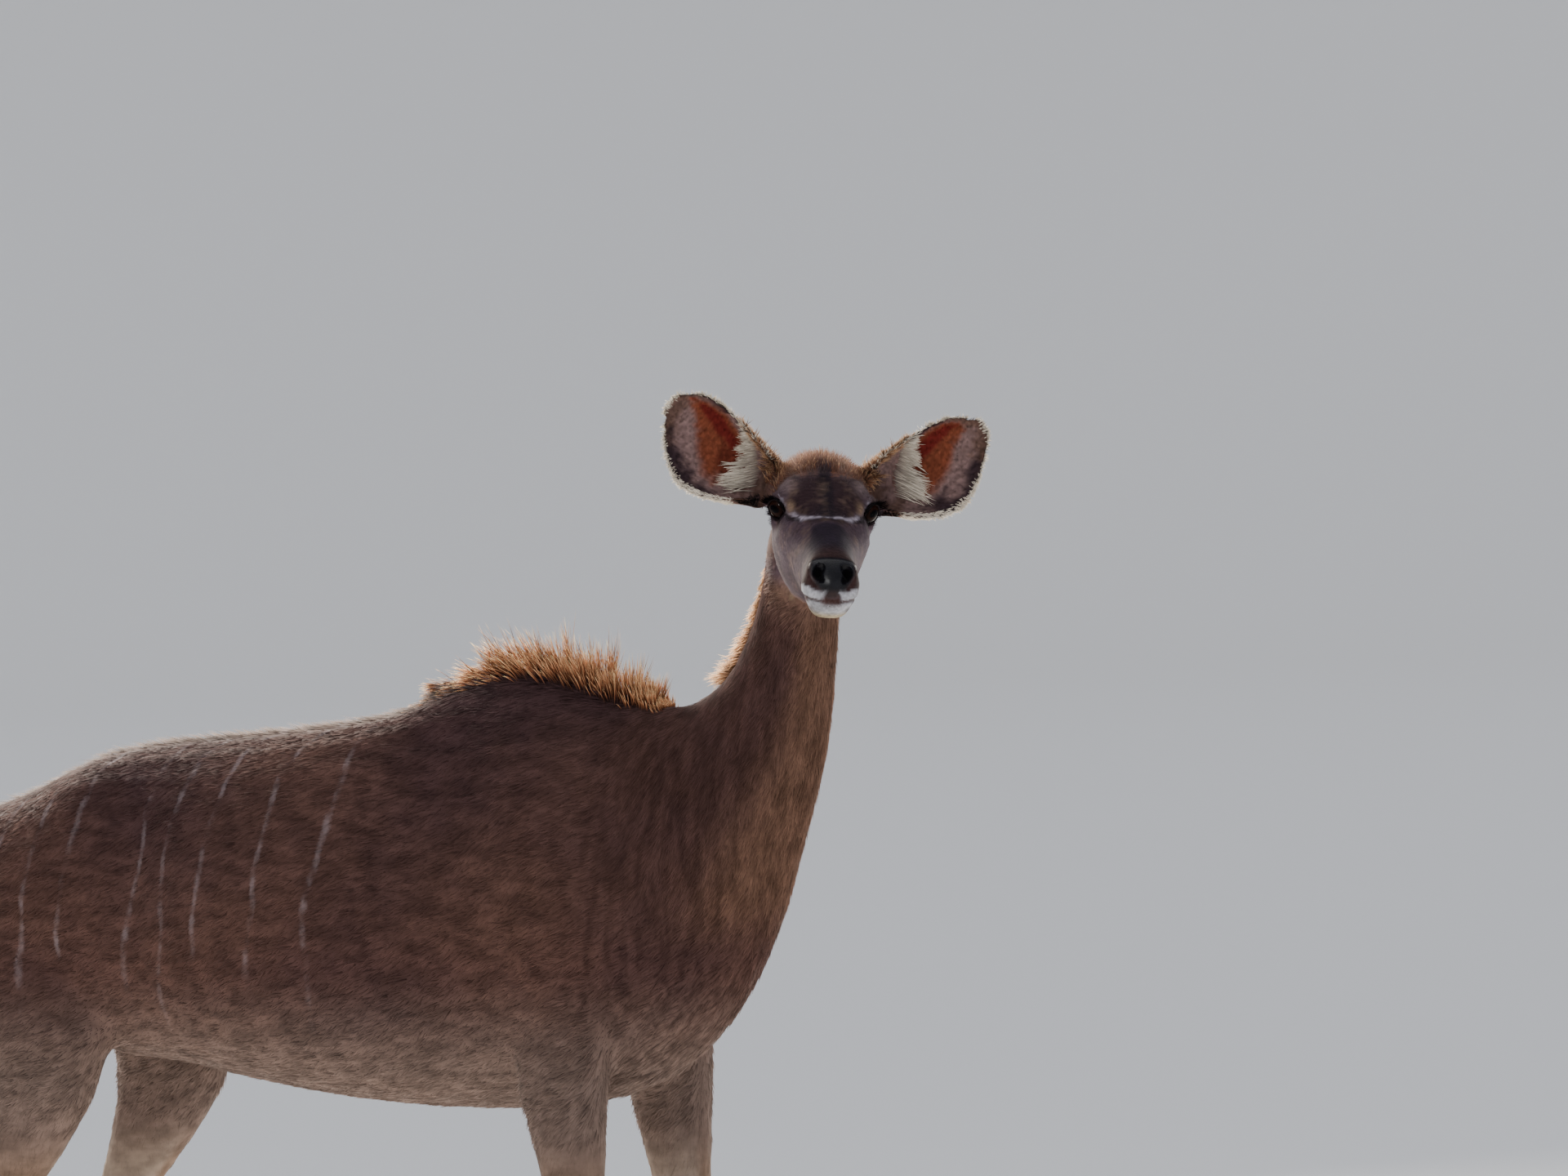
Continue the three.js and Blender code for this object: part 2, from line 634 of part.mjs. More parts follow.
// Her head with its ears still on; its parts are shaped in the head's frame and set by it.
function head(frame) {
  const both = (geometry) => {
    const g = mergeVertices(plain(geometry), 1e-3);
    return [solid(g, frame), solid(mirrored(g), frame)];
  };
  const [x, y, z] = EYE_AT;
  const made = joined([
    solid(skull(), frame),
    ...both(ball([x, -y, z], [EYE_RADIUS + LID, EYE_RADIUS + LID, EYE_RADIUS + LID], 18, 10)),
    ...both(ball([EAR_AT[0] - 2, -EAR_AT[1] + 2, EAR_AT[2] - 4], [23, 20, 26], 12, 8)),
    solid(ear(EAR_AXES.right), frame),
    solid(mirrored(ear(EAR_AXES.left)), frame),
  ]);
  const cuts = [
    ...both(ball([x, -y, z], [EYE_RADIUS + GAP, EYE_RADIUS + GAP, EYE_RADIUS + GAP], 18, 10)),
    ...both(lidOpening()),
    ...both(nostril()),
    solid(mouthLine(), frame),
  ];
  return cuts.reduce((left, cut) => left.subtract(cut), made);
}

// Numbers from 0 to 1 that are the same on every run.
function seeded(seed) {
  let state = seed;
  return () => {
    state = (state * 1664525 + 1013904223) % 4294967296;
    return state / 4294967296;
  };
}

// How far along a lock each of its rings lies, and the ring's size.
const LOCK_STEPS = [
  [0, 0.8],
  [0.34, 1],
  [0.68, 0.72],
  [1, 0.06],
];

// A flat tapered lock of hair: a strip four points round that bends as it goes. It starts below the skin,
// leaves it along out, leans over by lean (radians) towards lie, and by curl more on the way to its tip.
function lock(root, out, lie, { length, width, thick, lean, curl, depth }) {
  const over = vector(lie).addScaledVector(vector(out), -vector(out).dot(vector(lie))).normalize();
  const up = vector(out);
  const flat = new THREE.Vector3().crossVectors(up, over).normalize();
  const rings = [];
  const at = vector(root).addScaledVector(up, -depth);
  const ring = (size, angle) => {
    const facing = over.clone().multiplyScalar(Math.cos(angle)).addScaledVector(up, -Math.sin(angle));
    const [w, t] = [(width / 2) * size, (thick / 2) * size];
    return [
      at.clone().addScaledVector(flat, w),
      at.clone().addScaledVector(facing, -t),
      at.clone().addScaledVector(flat, -w),
      at.clone().addScaledVector(facing, t),
    ];
  };
  rings.push(ring(0.7, lean));
  let done = 0;
  for (const [share, size] of LOCK_STEPS) {
    const angle = lean + curl * share;
    const go = share === 0 ? depth : (share - done) * length;
    at.addScaledVector(up, Math.cos(angle) * go).addScaledVector(over, Math.sin(angle) * go);
    rings.push(ring(size, angle));
    done = share;
  }
  return skinned(rings);
}

// Locks set along a crest, in turn on either side of its middle, so that they overlap. A row of crest is
// [x, y, z of the skin, x, z of the way out of it, length, lean in degrees, half width, turn to her right].
function mane(crest, count, seed, sizes) {
  const at = smoothRows(crest.map((row) => [...row, 0, 0, 0].slice(0, 9)));
  const random = seeded(seed);
  const locks = [];
  for (let i = 0; i < count; i++) {
    const [x, y, z, ox, oz, length, lean, spread, turned] = at((i + 0.3 + 0.4 * random()) / count);
    const lane = [-1, 1, 0][i % 3] * (0.75 + 0.25 * random());
    const turn = radians(-turned);
    const out = new THREE.Vector3(ox, 0, oz).applyAxisAngle(new THREE.Vector3(0, 0, 1), turn);
    const across = new THREE.Vector3(-Math.sin(turn), Math.cos(turn), 0);
    out.normalize().addScaledVector(across, lane * 0.42).normalize();
    const back = new THREE.Vector3(-oz, 0, ox).applyAxisAngle(new THREE.Vector3(0, 0, 1), turn);
    back.addScaledVector(across, (random() - 0.5) * 0.3);
    const root = new THREE.Vector3(x, y, z)
      .addScaledVector(across, lane * spread)
      .addScaledVector(out, -Math.abs(lane) * spread * 0.35);
    locks.push(
      solid(
        lock(root.toArray(), out.toArray(), back.toArray(), {
          ...sizes,
          length: length * (0.86 + 0.28 * random()),
          width: sizes.width * (0.85 + 0.3 * random()),
          lean: radians(lean) + (random() - 0.5) * 0.24,
          curl: sizes.curl * (0.6 + 0.8 * random()),
        }),
      ),
    );
  }
  return joined(locks);
}

// The mane over the withers: it stands up at the front and lies down towards the back.
const WITHERS = [
  [232, 0, 1242, -0.36, 1, 52, 62, 9, 0],
  [264, 0, 1251, -0.2, 1, 58, 54, 10, 0],
  [300, 0, 1254, 0.02, 1, 62, 44, 11, 0],
  [350, 0, 1251, 0.14, 1, 64, 30, 11, 0],
  [400, 0, 1241, 0.22, 1, 66, 16, 11, 0],
  [450, 0, 1229, 0.24, 1, 68, 4, 10, 0],
  [494, 0, 1216, 0.22, 1, 60, -8, 8, 0],
];
// The pale fringe down the back of the neck, from below the ears to the dip ahead of the withers.
const NAPE = [
  [712, -10, 1404, -1, 0.45, 24, 22, 5, 44],
  [698, -8, 1366, -1, 0.42, 28, 24, 6, 38],
  [684, -4, 1330, -1, 0.5, 33, 26, 6, 29],
  [668, -2, 1294, -1, 0.6, 37, 28, 7, 19],
  [650, 0, 1262, -1, 0.8, 38, 30, 7, 12],
  [630, 0, 1236, -0.8, 1, 35, 32, 7, 6],
];

const frame = headFrame();
const inHead = (x, y, z) => new THREE.Vector3(x, y, z).applyMatrix4(frame).toArray();
const alongHead = (x, y, z) => new THREE.Vector3(x, y, z).transformDirection(frame).toArray();

const group = new THREE.Group();
const add = (name, made, material = HIDE) => group.add(node(name, made, material));

const her = joined([
  solid(body()),
  solid(tail()),
  solid(foreleg(1, STRIDE.fore)),
  solid(foreleg(-1, 0)),
  solid(hindleg(1, STRIDE.hind)),
  solid(hindleg(-1, 0)),
  head(frame),
]);

let [headPart, rest] = split(her, inHead(0, 0, -88), alongHead(0.6, 0, 0.8));
for (const side of [-1, 1]) {
  const root = vector([EAR_AT[0], side * EAR_AT[1], EAR_AT[2]]);
  const [back, out, rise] = side < 0 ? EAR_AXES.right : EAR_AXES.left;
  const axis = new THREE.Vector3(back, side * out, rise).normalize();
  const [earPart, remaining] = split(
    headPart,
    inHead(...root.addScaledVector(axis, 14).toArray()),
    alongHead(...axis.toArray()),
  );
  headPart = remaining;
  add(side < 0 ? "ear_right" : "ear_left", largest(earPart));
}
add("head", largest(headPart));
for (const side of [-1, 1]) {
  const [x, y, z] = EYE_AT;
  const globe = mergeVertices(plain(ball([x, -y, z], [EYE_RADIUS, EYE_RADIUS, EYE_RADIUS], 18, 10)), 1e-3);
  add(side < 0 ? "eye_right" : "eye_left", solid(side < 0 ? globe : mirrored(globe), frame), EYE);
}

const [fore, aft] = split(rest, [140, 0, 0], [1, 0, 0]);
const [barrel, rear] = split(aft, [-224, 0, 0], [1, 0, 0]);
const [rump, tailPart] = split(rear, [-607, 0, 0], [1, 0, 0]);
const [neckAndChest, forelegs] = split(fore, [0, 0, FORE_CUT], [0, 0, 1]);
const [hindquarters, hindlegs] = split(rump, [0, 0, HIND_CUT], [0, 0, 1]);
const [neckPart, shoulders] = split(neckAndChest, [628, 0, 1076], [0.9, 0, 0.436]);
add("barrel", largest(barrel));
add("hindquarters", largest(hindquarters));
add("shoulders", largest(shoulders.add(mane(WITHERS, MANE.locks, 7, MANE))));
add("neck", largest(neckPart.add(mane(NAPE, FRINGE.locks, 11, FRINGE))));
add("tail", largest(tailPart));

for (const [end, legs, joint, foot, ahead] of [
  ["fore", forelegs, KNEE_CUT, [498, 93], STRIDE.fore],
  ["hind", hindlegs, HOCK_CUT, [-432, 106], STRIDE.hind],
])
  for (const side of [-1, 1]) {
    const hand = side < 0 ? "right" : "left";
    const [leg] = split(legs, [0, 0, 0], [0, side, 0]);
    const [upper, lower] = split(leg, [0, 0, joint], [0, 0, 1]);
    const x = foot[0] + (side > 0 ? ahead : 0);
    const y = side * foot[1];
    const tilt = [HOOF_BACK - HOOF_TOP, 0, CLAW_LENGTH];
    const [shank] = split(lower, [x, 0, (HOOF_TOP + HOOF_BACK) / 2], tilt);
    add(`${end}leg_upper_${hand}`, largest(upper));
    const claws = dewclaws(x - 32, y, 116).map((claw) => solid(claw));
    add(`${end}leg_lower_${hand}`, largest(joined([shank, ...claws])));
    for (const place of [-1, 1]) {
      const [, horn] = split(solid(claw(x, y, place)), [x, 0, (HOOF_TOP + HOOF_BACK) / 2], tilt);
      add(`${end}hoof_${place === side ? "outer" : "inner"}_${hand}`, largest(horn), HORN);
    }
  }

group.position.set(...STANCE);
export default group;
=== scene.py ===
import math

import bmesh
import bpy
import numpy as np
from mathutils import Matrix, Vector
from mathutils.bvhtree import BVHTree


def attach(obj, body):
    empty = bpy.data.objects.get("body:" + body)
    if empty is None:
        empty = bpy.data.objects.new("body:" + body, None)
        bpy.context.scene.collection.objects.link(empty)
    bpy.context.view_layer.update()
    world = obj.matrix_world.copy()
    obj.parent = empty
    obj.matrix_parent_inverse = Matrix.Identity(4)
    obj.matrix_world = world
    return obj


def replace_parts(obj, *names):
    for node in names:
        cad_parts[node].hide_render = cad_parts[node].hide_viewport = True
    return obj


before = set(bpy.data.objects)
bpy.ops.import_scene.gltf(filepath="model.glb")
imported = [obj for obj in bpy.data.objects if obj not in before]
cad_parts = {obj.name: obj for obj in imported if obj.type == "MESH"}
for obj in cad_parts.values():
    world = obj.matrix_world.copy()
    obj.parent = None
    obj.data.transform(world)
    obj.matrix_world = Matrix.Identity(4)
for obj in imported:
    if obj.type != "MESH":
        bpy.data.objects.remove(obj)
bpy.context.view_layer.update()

# Places measured on the animal are in millimetres in her own frame; STANCE moves them into the shared frame.
STANCE = np.array([-168.0, 33.0, 0.0])
HEAD_AT = (np.array([786.0, -17.0, 1455.0]) + STANCE) / 1000
HEAD_TURN, HEAD_DROP, HEAD_ROLL = -51.2, 17.3, -5.0
HEAD_SIZE = 0.93
EYE_RADIUS = 19.0
EYE_AT = np.array([112.0, 51.0, 17.0])
EAR_LENGTH = 184.0
EAR_AT = np.array([22.0, 54.0, 10.0])
EAR_AXES = {-1: (-0.54, 0.71, 0.46), 1: (-0.33, 0.83, 0.45)}
EAR_OPEN = np.array([0.94, 0.16, 0.26])

# How far the skin lies under the tips of the coat, in metres
COAT_DEPTH = {"body": 0.005, "leg": 0.0025, "head": 0.0018, "ear": 0.0004}

# The skin is remeshed in a space where everything near the head is larger, so that the head keeps its detail
FINE_CENTRE = np.array([120.0, 0.0, 0.0])
FINE_REACH = 0.27
FINE_SCALE = 3.3
FAR_SCALE = 0.8
VOXEL = 0.0099


def unit(v):
    return v / np.maximum(np.linalg.norm(v, axis=-1, keepdims=True), 1e-12)


def ramp(low, high, value):
    """0 below low, 1 above high and smooth between them; it falls where high is below low."""
    t = np.clip((value - low) / (high - low), 0, 1)
    return t * t * (3 - 2 * t)


def mix(a, b, share):
    return a + (b - a) * np.asarray(share)[..., None]


def wander(p, size, seed):
    """A smooth random field from about -1 to 1 whose waves are about size long."""
    draw = np.random.default_rng(seed)
    total = np.zeros(len(p))
    for _ in range(9):
        wave = unit(draw.normal(size=3)) * 2 * math.pi / size * draw.uniform(0.6, 1.5)
        total += np.sin(p @ wave + draw.uniform(0, 2 * math.pi))
    return total / 3


def head_axes():
    turn, drop, roll = (math.radians(v) for v in (HEAD_TURN, HEAD_DROP, HEAD_ROLL))
    nose = np.array([math.cos(turn) * math.cos(drop), math.sin(turn) * math.cos(drop), -math.sin(drop)])
    left = np.array([-math.sin(turn), math.cos(turn), 0])
    left = left * math.cos(roll) + np.cross(nose, left) * math.sin(roll)
    return np.array([nose, left, np.cross(nose, left)])


HEAD_AXES = head_axes()


def to_head(p):
    """Places in the head's own millimetres: x towards the nose, y to her left, z to the crown."""
    return (p - HEAD_AT) @ HEAD_AXES.T * 1000 / HEAD_SIZE


def from_head(h):
    return HEAD_AT + np.asarray(h) @ HEAD_AXES * HEAD_SIZE / 1000


def ear_frame(side):
    """The ear's axis, the way its cup opens and the way to its crown edge, in the head's frame."""
    flip = np.array([1, side, 1])
    axis = unit(np.array(EAR_AXES[side]) * flip)
    opening = EAR_OPEN * flip
    opening = unit(opening - axis * (opening @ axis))
    return axis, opening, np.cross(axis, opening) * -side


def ear_half_widths(along):
    """Half widths of an ear towards its crown edge and its cheek edge, at shares of its length."""
    places = [0, 0.08, 0.2, 0.35, 0.5, 0.65, 0.8, 0.91, 0.98, 1]
    up = np.interp(along, places, [22, 24, 29, 34, 38, 38, 32, 19, 8, 3])
    down = np.interp(along, places, [30, 38, 53, 68, 74, 67, 49, 32, 17, 8])
    return up, down


def in_ear(h, side):
    """Share of the ear's length, place across from -1 at the cheek edge to 1 at the crown edge, and depth."""
    axis, opening, crown = ear_frame(side)
    q = h - EAR_AT * np.array([1, side, 1])
    along = q @ axis / EAR_LENGTH
    up, down = ear_half_widths(np.clip(along, 0, 1))
    across = q @ crown
    return along, np.where(across > 0, across / up, across / down), q @ opening


# Meshes


def mesh_object(name, points, faces):
    mesh = bpy.data.meshes.new(name)
    faces = np.asarray(faces)
    count, corners = faces.shape
    mesh.vertices.add(len(points))
    mesh.vertices.foreach_set("co", np.asarray(points, np.float32).ravel())
    mesh.loops.add(count * corners)
    mesh.loops.foreach_set("vertex_index", faces.astype(np.int32).ravel())
    mesh.polygons.add(count)
    mesh.polygons.foreach_set("loop_start", np.arange(0, count * corners, corners, dtype=np.int32))
    mesh.polygons.foreach_set("use_smooth", np.full(count, True))
    mesh.update(calc_edges=True)
    mesh.validate()
    made = bpy.data.objects.new(name, mesh)
    bpy.context.scene.collection.objects.link(made)
    return made


def arrays(mesh):
    points = np.empty(len(mesh.vertices) * 3)
    mesh.vertices.foreach_get("co", points)
    sizes = np.empty(len(mesh.polygons), np.int32)
    mesh.polygons.foreach_get("loop_total", sizes)
    corners = np.empty(len(mesh.loops), np.int32)
    mesh.loops.foreach_get("vertex_index", corners)
    return points.reshape(-1, 3), corners.reshape(-1, sizes[0])


def triangles(faces):
    if faces.shape[1] == 3:
        return faces
    return np.vstack([faces[:, [0, 1, 2]], faces[:, [0, 2, 3]]])


def vertex_normals(points, faces):
    tri = triangles(faces)
    a, b, c = (points[tri[:, i]] for i in range(3))
    flat = np.cross(b - a, c - a)
    normals = np.zeros_like(points)
    for i in range(3):
        for k in range(3):
            normals[:, k] += np.bincount(tri[:, i], flat[:, k], len(points))
    return unit(normals)


def edges_of(faces):
    pairs = np.vstack([faces[:, [i, (i + 1) % faces.shape[1]]] for i in range(faces.shape[1])])
    return np.unique(np.sort(pairs, axis=1), axis=0)


def relaxed(points, edges, steps, strength):
    """Moves points towards the middle of their neighbours, step by step, by a strength for each point."""
    a, b = edges.T
    degree = np.bincount(edges.ravel(), minlength=len(points))[:, None]
    for step in steps:
        total = np.empty_like(points)
        for k in range(3):
            total[:, k] = np.bincount(a, points[b, k], len(points))
            total[:, k] += np.bincount(b, points[a, k], len(points))
        points = points + (total / degree - points) * (step * strength)[:, None]
    return points


def smoothed(points, edges, rounds, strength):
    """Smoothing that swells again what it shrinks."""
    return relaxed(points, edges, (0.55, -0.57) * rounds, strength)


def evened(points, edges, rounds, strength):
    """Smoothing that fills a hollow and takes down a ridge."""
    return relaxed(points, edges, (0.5,) * rounds, strength)


def largest_part(points, faces):
    label = np.arange(len(points))
    edges = edges_of(faces)
    while True:
        low = np.minimum(label[edges[:, 0]], label[edges[:, 1]])
        new = label.copy()
        np.minimum.at(new, edges[:, 0], low)
        np.minimum.at(new, edges[:, 1], low)
        new = new[new]
        if (new == label).all():
            break
        label = new
    best = np.bincount(label).argmax()
    keep = label == best
    index = np.cumsum(keep) - 1
    return points[keep], index[faces[keep[faces[:, 0]]]]


# The skin

# Rows along a crest that carries long hair: x, y, z of the skin, x and z of the way out of it, how far it is
# turned to her right in degrees, the hair's length in millimetres, and its lean in degrees
WITHERS = [
    (232, 0, 1242, -0.36, 1, 0, 38, 62),
    (264, 0, 1251, -0.2, 1, 0, 46, 54),
    (300, 0, 1254, 0.02, 1, 0, 52, 44),
    (350, 0, 1251, 0.14, 1, 0, 55, 30),
    (400, 0, 1241, 0.22, 1, 0, 57, 16),
    (450, 0, 1229, 0.24, 1, 0, 56, 4),
    (494, 0, 1216, 0.22, 1, 0, 46, -8),
]
NAPE = [
    (712, -10, 1404, -1, 0.45, 44, 26, 30),
    (698, -8, 1366, -1, 0.42, 38, 31, 30),
    (684, -4, 1330, -1, 0.5, 29, 36, 32),
    (668, -2, 1294, -1, 0.6, 19, 40, 34),
    (650, 0, 1262, -1, 0.8, 12, 41, 34),
    (630, 0, 1236, -0.8, 1, 6, 38, 34),
]


# Samples along a crest from which distances to it are taken
CREST_SAMPLES = 60
# What stands this high over a crest's slopes is a lock, and goes this deep under them, in millimetres
LOCK_HEIGHT = 1.5
LOCK_SUNK = 9
# The longest edge that the nodes keep before the remesh, in metres
LONGEST_EDGE = 0.022


def crest(rows, share):
    """The place, the way out and the way across at shares along the rows, then the length and the lean."""
    table = np.array(rows, float)
    at = np.linspace(0, 1, len(table))
    x, y, z, ox, oz, turned, length, lean = (np.interp(share, at, table[:, k]) for k in range(8))
    turn = np.radians(-turned)
    out = unit(np.stack([ox * np.cos(turn), ox * np.sin(turn), oz], -1))
    across = np.stack([-np.sin(turn), np.cos(turn), 0 * turn], -1)
    return (np.stack([x, y, z], -1) + STANCE) / 1000, out, across, length / 1000, np.radians(lean)


def without_locks(bm, rows, fall, slopes):
    """Pulls the locks on a copy of a node in under its skin, where the remesh swallows them. Fall is how far
    the skin drops at a distance aside of the crest; slopes say how it drops beyond the first and last row."""
    places, outs, acrosses, _, _ = crest(rows, np.linspace(0, 1, CREST_SAMPLES))
    p = np.array([v.co[:] for v in bm.verts])
    nearest = ((p[:, None] - places[None]) ** 2).sum(-1).argmin(1)
    off = (p - places[nearest]) * 1000
    height = (off * outs[nearest]).sum(-1)
    aside = np.abs((off * acrosses[nearest]).sum(-1))
    ahead = np.abs((off * np.cross(outs, acrosses)[nearest]).sum(-1))
    ends = np.where(nearest == 0, slopes[0], np.where(nearest == CREST_SAMPLES - 1, slopes[1], 0))
    level = height + fall(aside) - ends * ahead
    loose = (level > LOCK_HEIGHT) & (aside < 70) & (np.linalg.norm(off, axis=1) < 140)
    pressed = p - outs[nearest] * ((level + LOCK_SUNK) / 1000 * loose)[:, None]
    for vertex, place in zip(bm.verts, pressed):
        vertex.co = place


def flesh():
    """Every node but the hooves, joined as one soup of triangles none of which is long."""
    points, faces, count = [], [], 0
    for name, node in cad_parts.items():
        if "hoof" in name:
            continue
        bm = bmesh.new()
        bm.from_mesh(node.data)
        bmesh.ops.remove_doubles(bm, verts=bm.verts, dist=2e-6)
        if name == "shoulders":
            without_locks(bm, WITHERS, lambda a: 0.33 * a + 0.005 * a * a, (0.4, 1.2))
        if name == "neck":
            without_locks(bm, NAPE, lambda a: a * a / 110, (1.2, 0.4))
        bmesh.ops.triangulate(bm, faces=bm.faces)
        for _ in range(3):
            long = [e for e in bm.edges if e.calc_length() > LONGEST_EDGE]
            bmesh.ops.subdivide_edges(bm, edges=long, cuts=1)
            bmesh.ops.triangulate(bm, faces=bm.faces)
        points.append(np.array([v.co[:] for v in bm.verts]))
        bm.verts.index_update()
        faces.append(np.array([[v.index for v in f.verts] for f in bm.faces]) + count)
        count += len(bm.verts)
        bm.free()
    return np.vstack(points), np.vstack(faces)


def enlarged(p, back=False):
    """Into the space of the remesh, or back out of it."""
    centre = from_head(FINE_CENTRE)
    off = p - centre
    r = np.linalg.norm(off, axis=1)
    edge = FINE_REACH * FINE_SCALE
    if back:
        new = np.where(r < edge, r / FINE_SCALE, FINE_REACH + (r - edge) / FAR_SCALE)
    else:
        new = np.where(r < FINE_REACH, r * FINE_SCALE, edge + (r - FINE_REACH) * FAR_SCALE)
    return centre + off * (new / np.maximum(r, 1e-9))[:, None]


def remeshed(points, faces, voxel):
    rough = mesh_object("rough", points, faces)
    change = rough.modifiers.new("Remesh", "REMESH")
    change.mode = "VOXEL"
    change.voxel_size = voxel
    change.adaptivity = 0
    shape = rough.evaluated_get(bpy.context.evaluated_depsgraph_get())
    mesh = bpy.data.meshes.new_from_object(shape)
    result = arrays(mesh)
    old = rough.data
    bpy.data.objects.remove(rough)
    bpy.data.meshes.remove(old)
    bpy.data.meshes.remove(mesh)
    return result


def head_share(p):
    """1 on the head and 0 on the neck."""
    h = to_head(p)
    ahead = 0.6 * h[:, 0] + 0.8 * (h[:, 2] + 88)
    return ramp(-20, 20, ahead) * (np.linalg.norm(h - FINE_CENTRE, axis=1) < 330)


def ear_share(p):
    h = to_head(p)
    share = np.zeros(len(p))
    for side in (-1, 1):
        along, across, depth = in_ear(h, side)
        inside = (along > 0) & (along < 1.1) & (np.abs(across) < 1.5) & (np.abs(depth) < 75)
        share = np.maximum(share, ramp(0.06, 0.2, along) * inside * (h[:, 1] * side > 40))
    return share


# Where the skin is evened after the locks are gone: centre and reach in her own millimetres, and rounds
EVENED = (
    ((520, 0, 1205), (75, 60, 60), 40),
    ((214, 0, 1236), (46, 40, 40), 18),
)


def make_skin():
    points, faces = flesh()
    points, faces = remeshed(enlarged(points), faces, VOXEL)
    points = enlarged(points, back=True)
    points, faces = largest_part(points, faces)
    edges = edges_of(faces)
    head = head_share(points)
    ear = ear_share(points)
    low = ramp(0.78, 0.66, points[:, 2])
    points = smoothed(points, edges, 14, (1 - head) * (1 - 0.55 * low))
    points = smoothed(points, edges, 3, head * (1 - 0.6 * ear))
    for centre, reach, rounds in EVENED:
        off = (points * 1000 - STANCE - np.array(centre)) / np.array(reach)
        points = evened(points, edges, rounds, np.exp(-(off**2).sum(1)) * (1 - head))
    of_nape = crest(NAPE, np.linspace(0, 1, 40))[0]
    from_nape = np.sqrt(((points[:, None] - of_nape[None]) ** 2).sum(-1).min(1))
    points = evened(points, edges, 50, ramp(0.075, 0.05, from_nape) * (1 - ear))
    face = (head > 0.5) & (ear < 0.2)
    points[face] = from_head(pressed_face(to_head(points[face])))
    depth = COAT_DEPTH["body"] + (COAT_DEPTH["leg"] - COAT_DEPTH["body"]) * low
    depth = depth + (COAT_DEPTH["head"] - depth) * head
    depth = depth + (COAT_DEPTH["ear"] - depth) * ear
    points = points - vertex_normals(points, faces) * depth[:, None]
    return points, faces


# Eyes, lids and mouth, as shapes that the skin is pressed to

GAZE = np.array([0.74, 0.65, 0.03])
ALONG_LIDS = np.array([0.66, -0.72, -0.22])
# The opening between the lids, in millimetres along the eyeball from the middle of the gaze, x to the nose
LID_CORNERS = ((-17, -3), (18, -8))
UPPER_LID = ((-12, 15), (9, 19))
LOWER_LID = ((-10, -17), (7, -21))
# The line of the mouth: places along the head and their heights
MOUTH = ((222, -43), (244, -46), (262, -45), (281, -42), (299, -39), (315, -37), (327, -36), (340, -35))


def eye_frame(side):
    flip = np.array([1, side, 1])
    gaze = unit(GAZE * flip)
    along = ALONG_LIDS * flip
    along = unit(along - gaze * (along @ gaze))
    up = np.cross(gaze, along)
    return EYE_AT * flip, gaze, along, up * np.sign(up[2])


def lid_curve(upper, count):
    """Points of one lid's edge from its outer to its inner corner."""
    t = np.linspace(0, 1, count)[:, None]
    a, d = (np.array(v, float) for v in LID_CORNERS)
    b, c = (np.array(v, float) for v in (UPPER_LID if upper else LOWER_LID))
    return (1 - t) ** 3 * a + 3 * (1 - t) ** 2 * t * b + 3 * (1 - t) * t * t * c + t**3 * d


def on_eye(side, uv, radius):
    """The place at uv millimetres along the eyeball, at a distance from its centre, in the head's frame."""
    centre, gaze, along, up = eye_frame(side)
    uv = np.asarray(uv, float)
    angle = np.linalg.norm(uv, axis=-1, keepdims=True) / EYE_RADIUS
    way = (uv[..., :1] * along + uv[..., 1:] * up) / np.maximum(angle * EYE_RADIUS, 1e-6)
    return centre + (gaze * np.cos(angle) + way * np.sin(angle)) * np.asarray(radius)[..., None]


def about_eye(h, side):
    """Millimetres along the eyeball from the middle of the gaze, and the distance from its centre."""
    centre, gaze, along, up = eye_frame(side)
    off = h - centre
    r = np.linalg.norm(off, axis=1)
    angle = np.arccos(np.clip(off @ gaze / np.maximum(r, 1e-6), -1, 1)) * EYE_RADIUS
    across = np.stack([off @ along, off @ up], -1)
    return unit(across) * angle[:, None], r


def between_lids(uv):
    """How far inside the opening between the lids a place lies, in millimetres; negative outside it."""
    high, low = lid_curve(True, 60), lid_curve(False, 60)
    top = np.interp(uv[:, 0], high[:, 0], high[:, 1], left=-99, right=-99)
    bottom = np.interp(uv[:, 0], low[:, 0], low[:, 1], left=99, right=99)
    return np.minimum(top - uv[:, 1], uv[:, 1] - bottom)


def mouth_off(h):
    """Height above the line of the mouth, and a share that is 1 along it and fades at its corners."""
    table = np.array(MOUTH, float)
    return h[:, 2] - np.interp(h[:, 0], table[:, 0], table[:, 1]), ramp(222, 240, h[:, 0])


def pressed_face(h):
    """Opens the lids, sinks the line of the mouth and folds the skin round the eyes."""
    for side in (-1, 1):
        uv, r = about_eye(h, side)
        centre = eye_frame(side)[0]
        near = (r < 34) & (h[:, 1] * side > 0)
        inside = between_lids(uv)
        highest = EYE_RADIUS + 3.4 + 1.15 * np.maximum(0, -inside - 1)
        r_old, r = r, r + (np.minimum(r, highest) - r) * ramp(46, 34, r) * (h[:, 1] * side > 0)
        sunk = np.where(near, ramp(-1.2, 1.2, inside), 0)
        fold = np.exp(-(((inside + 6.5) / 1.6) ** 2)) * near * (uv[:, 1] > 0) * 1.6
        socket = np.exp(-(((inside + 13) / 4) ** 2)) * near * 1.2
        new = np.where(near, np.maximum(r - fold - socket, EYE_RADIUS + 3.2), r)
        new = new + (EYE_RADIUS - 3.4 - new) * sunk
        h = centre + (h - centre) * (new / np.maximum(r_old, 1e-6))[:, None]
    off, share = mouth_off(h)
    groove = np.exp(-((off / 2.2) ** 2)) * share * 2.6
    inwards = unit(np.array([270.0, 0, -34]) - h) * np.array([0.7, 1, 0.2])
    return h + inwards * groove[:, None]


# Colours, from 0 to 255 as a screen shows them; COAT_TONE darkens skin and coat together


